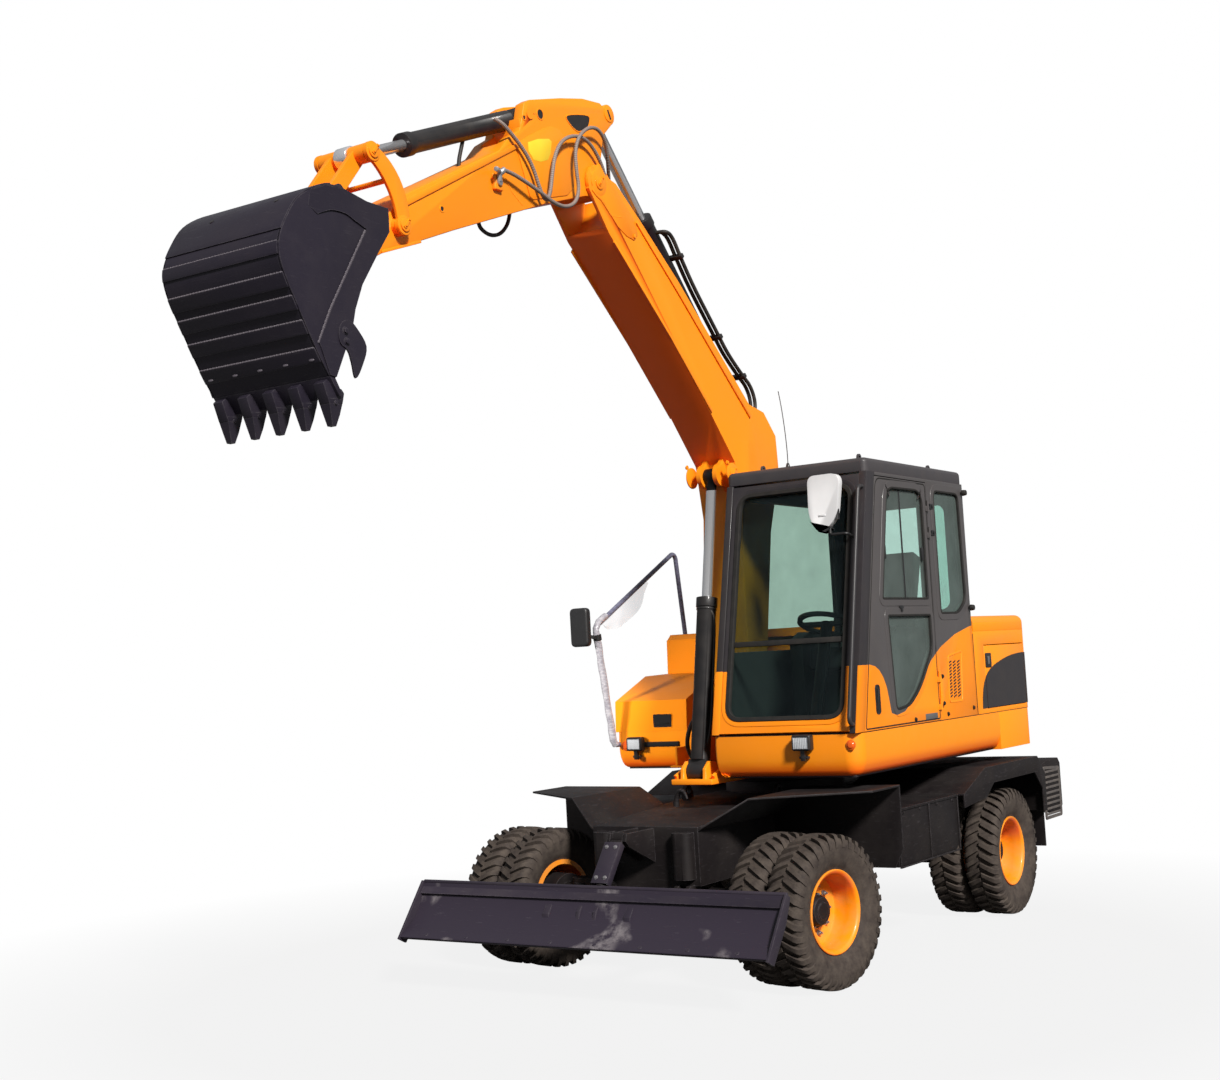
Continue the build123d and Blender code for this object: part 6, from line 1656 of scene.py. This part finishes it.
# %% Foot hoses
FOOT_HOSES = (
    [
        (-0.330, 0.960, 1.160), (-0.360, 0.900, 1.260), (-0.330, 0.820, 1.420), (-0.270, 0.840, 1.600),
        (-0.230, 0.900, 1.740), (-0.200, 0.960, 1.800),
    ],
    [
        (-0.290, 0.970, 1.160), (-0.330, 0.860, 1.300), (-0.300, 0.760, 1.480), (-0.250, 0.800, 1.640),
        (-0.215, 0.880, 1.730), (-0.190, 0.960, 1.770),
    ],
    [
        (-0.400, 1.060, 1.170), (-0.420, 0.960, 1.280), (-0.370, 0.880, 1.380), (-0.290, 0.900, 1.440),
        (-0.240, 0.960, 1.400), (-0.230, 1.040, 1.300),
    ],
    [
        (-0.250, 0.700, 1.170), (-0.270, 0.640, 1.260), (-0.230, 0.560, 1.360), (-0.200, 0.600, 1.480),
        (-0.190, 0.700, 1.520), (-0.190, 0.800, 1.500),
    ],
)
for k, points in enumerate(FOOT_HOSES):
    hose(f"foot_hose_{k + 1}", points, 0.014, "house", material=hose_rubber)
fitting_bm = bmesh.new()
for start, end in (
    ((-0.330, 0.960, 1.150), (-0.333, 0.950, 1.200)), ((-0.290, 0.970, 1.150), (-0.293, 0.958, 1.200)),
    ((-0.400, 1.060, 1.160), (-0.403, 1.048, 1.210)), ((-0.250, 0.700, 1.160), (-0.253, 0.690, 1.205)),
):
    add_round(fitting_bm, start, end, 0.020, 6, bevel=0.001)
finish_piece(fitting_bm, "foot_hose_fittings", "house", steel)

# %% Bracket on the deck
bracket_bm = bmesh.new()
add_block(bracket_bm, (-0.345, 0.800, 1.170), (0.220, 0.200, 0.012), None, 0.003)
for x in (-0.420, -0.280):
    add_block(bracket_bm, (x, 0.800, 1.235), (0.016, 0.150, 0.120), None, 0.004)
    add_bolt(bracket_bm, (x - 0.008, 0.780, 1.240), (-1, 0, 0), 0.014, 0.012)
finish_piece(bracket_bm, "deck_bracket", "house", orange_paint)

# %% The lift cylinder's pipe and collars
tube("lift_pipe", [
    (0.050, 0.340, 1.330), (0.078, 0.352, 1.400), (0.078, 0.412, 1.700), (0.078, 0.486, 2.080),
    (0.062, 0.500, 2.170), (0.020, 0.490, 2.205),
], 0.008, "lift_cylinder_barrel", hose_rubber)
LIFT_FOOT, LIFT_EYE = Vector((0, 0.324, 1.170)), Vector((0, 0.695, 3.063))
collar_bm = bmesh.new()
axis = (LIFT_EYE - LIFT_FOOT).normalized()
for reach in (1.030, 1.062):
    foot = LIFT_FOOT + axis * reach
    add_round(collar_bm, foot, foot + axis * 0.014, 0.066, 40, bevel=0.003)
finish_piece(collar_bm, "lift_collars", "lift_cylinder_barrel", trim_paint)

# %% [markdown]
# ## Wrapped handrail
# The rail on the tank side still has its packing film: an uneven sleeve round the bars, and a
# loose web hanging under the slanting one.

# %% Film round the rail
RAIL_X = -1.128
RAIL = [(1.060, 1.300), (1.036, 1.330), (0.893, 2.120), (0.930, 2.165), (1.050, 2.224)]
SIDES = 12
sleeve_bm = bmesh.new()
rings = []
for start, end in zip(RAIL, RAIL[1:]):
    start, end = Vector((RAIL_X, *start)), Vector((RAIL_X, *end))
    steps = max(2, round((end - start).length / 0.030))
    run = (end - start).normalized()
    across = Vector((1, 0, 0))
    above = run.cross(across)
    for k in range(steps):
        middle = start.lerp(end, k / steps)
        ring = []
        for n in range(SIDES):
            turn = 2 * pi * n / SIDES
            out = across * cos(turn) + above * sin(turn)
            swell = 0.0245 + 0.006 * noise.noise(middle * 9 + out * 0.9)
            swell += 0.002 * noise.noise(middle * 40 + out * 2)
            ring.append(sleeve_bm.verts.new(middle + out * max(0.0185, swell)))
        rings.append(ring)
add_skin(sleeve_bm, rings)
finish_piece(sleeve_bm, "packing_sleeve", "house", wrap_film, 60)

# %% Loose web under the slanting rail
web_bm = bmesh.new()
grid = []
for k in range(25):
    share = k / 24
    top = Vector((RAIL_X, 0.930, 2.170)).lerp(Vector((RAIL_X, 1.560, 2.476)), share)
    depth = 0.13 * sin(pi * share) ** 0.7 + 0.015
    row = []
    for n in range(6):
        drop = n / 5
        sway = 0.030 * noise.noise(Vector((share * 6, drop * 2, 0.3))) * drop
        row.append(web_bm.verts.new(top + Vector((sway, 0.06 * drop, -0.012 - depth * drop))))
    grid.append(row)
add_skin(web_bm, grid, closed=False)
finish_piece(web_bm, "packing_web", "house", thin_film, 60)

# %% [markdown]
# ## Blade and chassis fittings
# The blade's working face is one smooth hollow sheet with a lip along its top and a wear strip
# along its foot. Pale smears show where it has pushed earth.

# %% Blade paint
BLADE_BLACK = (0.026, 0.020, 0.032)
blade_face = Paint("blade_face", BLADE_BLACK, 0.40, Specular_IOR_Level=0.3)
smear = blade_face.noise(2.6, 3).above(0.62, 0.03)
smear = smear * blade_face.noise(17.0, 6, rough=0.7).above(0.50, 0.12)
scratch = blade_face.noise(9.0, 3, stretch=(1, 12, 12)).above(0.70, 0.05)
tone = blade_face.blend(smear * 0.75, BLADE_BLACK, (0.20, 0.18, 0.19))
blade_face.set("Base Color", blade_face.blend(scratch * 0.35, tone, (0.10, 0.09, 0.11)))
blade_face.set("Roughness", 0.42 + 0.25 * smear)
blade_face = blade_face.bump(blade_face.noise(3.0, 2) * 4 + scratch, 0.0012).material
print("paints:", len(bpy.data.materials), "so far")

# %% Places on the blade's face
FACE_CENTRE = Vector((-1.3368, 0.7159))
FACE_R = 0.4257


def on_face(x, turn, reach=0.0):
    """A point on the blade's hollow face; reach stands out from it."""
    return Vector(
        (x, FACE_CENTRE.x + (FACE_R - reach) * cos(turn), FACE_CENTRE.y + (FACE_R - reach) * sin(turn)))


TOP_TURN = atan2(0.624 - 0.7159, -0.921 + 1.3368)
LOW_TURN = atan2(0.328 - 0.7159, -1.161 + 1.3368)
print("height of the blade's face:", round(on_face(0, TOP_TURN).z - on_face(0, LOW_TURN).z, 3))

# %% Blade shell without its stepped face
shell_bm = from_node("blade")
hollow = [
    f for f in shell_bm.faces
    if all(abs(hypot(v.co.y - FACE_CENTRE.x, v.co.z - FACE_CENTRE.y) - FACE_R) < 0.002 for v in f.verts)
]
print("steps taken out:", len(hollow))
bmesh.ops.delete(shell_bm, geom=hollow, context="FACES")
round_edges(shell_bm, 0.004)
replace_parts(finish_piece(shell_bm, "blade_shell", "blade", blade_paint), "blade")

# %% Smooth blade face and wear strip
blade_bm = bmesh.new()
STEPS = 24                           # faces each way
FACE_WIDTH = 2.467
places = [(-0.004, 0.0), (0.0, 0.004)] + [(k / STEPS, 0.004) for k in range(1, STEPS + 1)]
strip = [(0.80, 0.004), (0.80, 0.010), (1.0, 0.010), (1.012, 0.006)]
for line in (places, strip):
    turns = [(TOP_TURN + (LOW_TURN - TOP_TURN) * share, reach) for share, reach in line]
    add_skin(blade_bm, [
        [blade_bm.verts.new(on_face(-1.2335 + FACE_WIDTH * k / STEPS, turn, reach)) for turn, reach in turns]
        for k in range(STEPS + 1)
    ], closed=False)
finish_piece(blade_bm, "blade_face", "blade", blade_face, 30)

# %% Lip and bolts of the blade
BOLTS_TURN = LOW_TURN + 0.06
lip_bm = bmesh.new()
add_round(
    lip_bm, on_face(-1.240, TOP_TURN, -0.006), on_face(1.240, TOP_TURN, -0.006), 0.0125, 16, bevel=0.003)
for x in [-1.05 + 0.30 * k for k in range(8)]:
    add_round(lip_bm, on_face(x, BOLTS_TURN, 0.009), on_face(x, BOLTS_TURN, 0.014), 0.014, 20, 0.011)
finish_piece(lip_bm, "blade_lip", "blade", blade_paint)

# %% [markdown]
# Guards and flanges are the last steelwork: a folded plate over the blade cylinder, ribbed
# guards behind the rear wheels, and the bolts of the slewing ring.

# %% Guard over the blade cylinder
guard_bm, bolt_bm = bmesh.new(), bmesh.new()
run = Vector((0, -0.610 + 0.925, 0.860 - 0.462)).normalized()
face = Vector((0, -run.z, run.y))
turn = Matrix((Vector((1, 0, 0)), run, face)).transposed()
middle = Vector((0, -0.728, 0.711)) + face * 0.052
add_block(guard_bm, middle, (0.112, 0.270, 0.008), turn, 0.003)
for sign in (-1, 1):
    add_block(
        guard_bm, middle + Vector((sign * 0.052, 0, 0)) - face * 0.022, (0.008, 0.270, 0.044), turn,
        0.003)
    for reach in (-0.100, 0.100):
        add_bolt(
            bolt_bm, middle + Vector((sign * 0.030, 0, 0)) + run * reach + face * 0.003, face, 0.010,
            0.009)
finish_piece(guard_bm, "blade_cylinder_guard", "blade_cylinder_barrel", blade_paint)
finish_piece(bolt_bm, "blade_guard_bolts", "blade_cylinder_barrel", worn_steel)

# %% Ribbed rear guards
rib_bm = bmesh.new()
for sign in (-1, 1):
    border = rounded([(3.150, 0.560), (3.150, 0.950), (3.500, 0.930), (3.500, 0.560)], 0.03)
    place = lambda a, b, height: (sign * (1.198 + height), a, b)
    add_ring(rib_bm, [(0.0, -0.002), (-0.003, 0.008), (-0.022, 0.008), (-0.025, -0.002)], border, place)
    for k in range(9):
        add_block(rib_bm, (sign * 1.202, 3.325, 0.600 + 0.038 * k), (0.010, 0.290, 0.018), None, 0.004)
    for k in range(3):
        add_bolt(rib_bm, (sign * 1.198, 3.130, 0.640 + 0.12 * k), (sign, 0, 0), 0.010, 0.010)
finish_piece(rib_bm, "rear_guard_ribs", "chassis", grey_rubber)

# %% Flanges, bolts and the chassis hook
RING_BOLTS = 28
flange_bm, bolt_bm = bmesh.new(), bmesh.new()
for sign in (-1, 1):
    # folded edges of the side boxes and their lids
    for z, deep in ((0.905, 0.016), (0.562, 0.010)):
        add_block(flange_bm, (sign * 1.203, 1.060, z - 0.004), (0.014, 0.930, deep), None, 0.003)
    for y in (0.600, 1.060, 1.518):
        add_block(flange_bm, (sign * 1.203, y, 0.735), (0.012, 0.014, 0.340), None, 0.003)
    for y in (0.680, 0.930, 1.190, 1.440):
        add_bolt(bolt_bm, (sign * 1.200, y, 0.880), (sign, 0, 0), 0.009, 0.008)
for k in range(RING_BOLTS):
    turn = 2 * pi * k / RING_BOLTS
    add_bolt(bolt_bm, (0.352 * cos(turn), 1.430 + 0.352 * sin(turn), 1.0400), (0, 0, 1), 0.010, 0.004)
turns = [pi * k / 12 for k in range(11)]
line = [(0.075 - 0.055 * cos(t), -0.030 + 0.02 * cos(t), 0.985 + 0.095 * sin(t)) for t in turns]
for k, (start, end) in enumerate(zip(line, line[1:])):
    add_round(flange_bm, start, end, 0.020 - 0.0012 * k, 12, 0.020 - 0.0012 * (k + 1))
finish_piece(flange_bm, "chassis_flanges", "chassis", chassis_paint)
finish_piece(bolt_bm, "chassis_bolts", "chassis", chassis_paint)

# %% [markdown]
# ## Floor and light
# A white floor runs out of view, so that the machine stands on white. One soft sun comes from
# high on the camera's right, as on a hazy day, and the sky fills the shadows only a little,
# so that the undersides stay deep and the form reads clearly. One narrow lamp in front on the
# left lights the tank, which stands in the cab's shadow.

# %% Floor
FLOOR_REACH = 60
floor_bm = bmesh.new()
bmesh.ops.create_grid(floor_bm, x_segments=1, y_segments=1, size=FLOOR_REACH)
bmesh.ops.translate(floor_bm, verts=floor_bm.verts, vec=(0, 0, -0.001))
floor_mesh = bpy.data.meshes.new("floor")
floor_bm.to_mesh(floor_mesh)
floor_bm.free()
floor = new_object("floor", floor_mesh)
floor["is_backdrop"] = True
print("floor reaches", FLOOR_REACH, "metres each way")

# %% White floor that keeps the shadow
floor_paint = Paint("floor_paint", (0.16, 0.16, 0.16), 0.9, Specular_IOR_Level=0.1)
away = floor_paint.add("ShaderNodeVectorMath", {"operation": "LENGTH"}, floor_paint.place, out=1)
direct = floor_paint.add("ShaderNodeLightPath", out="Is Camera Ray")
glow = floor_paint.add("ShaderNodeEmission", None, (1, 1, 1, 1), 1.0)
share = direct * (0.86 + 0.14 * away.above(4.5, 1.5))
lit = Value(floor_paint, floor_paint.shader.outputs[0])
shown = floor_paint.add("ShaderNodeMixShader", None, share, lit, glow)
floor_paint.links.new(shown.socket, floor_paint.nodes["Material Output"].inputs["Surface"])
floor_mesh.materials.append(floor_paint.material)

# %% [markdown]
# The world is white to the camera and through the glass, dim blue where it lights the
# machine, and in between where it is mirrored.

# %% Sky
SKY_COLOR, SKY_STRENGTH = (0.88, 0.93, 1.0, 1), 0.20
MIRRORED_WHITE = 0.14
world = bpy.data.worlds.new("studio")
bpy.context.scene.world = world
world.use_nodes = True
tree = world.node_tree
tree.nodes.clear()
path = tree.nodes.new("ShaderNodeLightPath")
sky, white = (tree.nodes.new("ShaderNodeBackground") for _ in range(2))
seen, shine, both = (tree.nodes.new("ShaderNodeMath") for _ in range(3))
mix = tree.nodes.new("ShaderNodeMixShader")
out = tree.nodes.new("ShaderNodeOutputWorld")
sky.inputs["Color"].default_value = SKY_COLOR
sky.inputs["Strength"].default_value = SKY_STRENGTH
white.inputs["Color"].default_value = (1, 1, 1, 1)
seen.operation, shine.operation, both.operation = "MAXIMUM", "MULTIPLY", "MAXIMUM"
shine.inputs[1].default_value = MIRRORED_WHITE
for source, target in (
    (path.outputs["Is Camera Ray"], seen.inputs[0]),
    (path.outputs["Is Transmission Ray"], seen.inputs[1]),
    (path.outputs["Is Glossy Ray"], shine.inputs[0]),
    (seen.outputs[0], both.inputs[0]),
    (shine.outputs[0], both.inputs[1]),
    (both.outputs[0], mix.inputs[0]),
    (sky.outputs[0], mix.inputs[1]),
    (white.outputs[0], mix.inputs[2]),
    (mix.outputs[0], out.inputs["Surface"]),
):
    tree.links.new(source, target)
print("sky strength:", SKY_STRENGTH)

# %% Sun
SUN_FROM = Vector((0.68, -0.46, 0.57))
sun_data = bpy.data.lights.new("sun", "SUN")
sun_data.energy, sun_data.angle, sun_data.color = 5.6, radians(9), (1.0, 0.97, 0.93)
sun = new_object("sun", sun_data)
sun.rotation_euler = SUN_FROM.to_track_quat("Z", "Y").to_euler()
print("sun height in degrees:", round(atan2(SUN_FROM.z, hypot(SUN_FROM.x, SUN_FROM.y)) * 180 / pi))

# %% Fill light
FILL_AT, FILL_AIM = Vector((-3.0, -2.3, 2.5)), Vector((-0.95, 1.10, 1.62))
fill_data = bpy.data.lights.new("fill", "SPOT")
fill_data.energy, fill_data.color = 900, (1.0, 0.96, 0.90)
fill_data.spot_size, fill_data.spot_blend, fill_data.shadow_soft_size = radians(27), 0.7, 0.35
fill = new_object("fill", fill_data)
fill.visible_glossy = False
fill.location = FILL_AT
fill.rotation_euler = (FILL_AT - FILL_AIM).to_track_quat("Z", "Y").to_euler()
print("fill lamp, metres from the tank:", round((FILL_AT - FILL_AIM).length, 1))
bpy.context.scene.view_settings.view_transform = "Standard"

# %% [markdown]
# ## Sizes
# The box round the dressed model, without the floor, is found.

# %% Size of the dressed model
low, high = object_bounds()
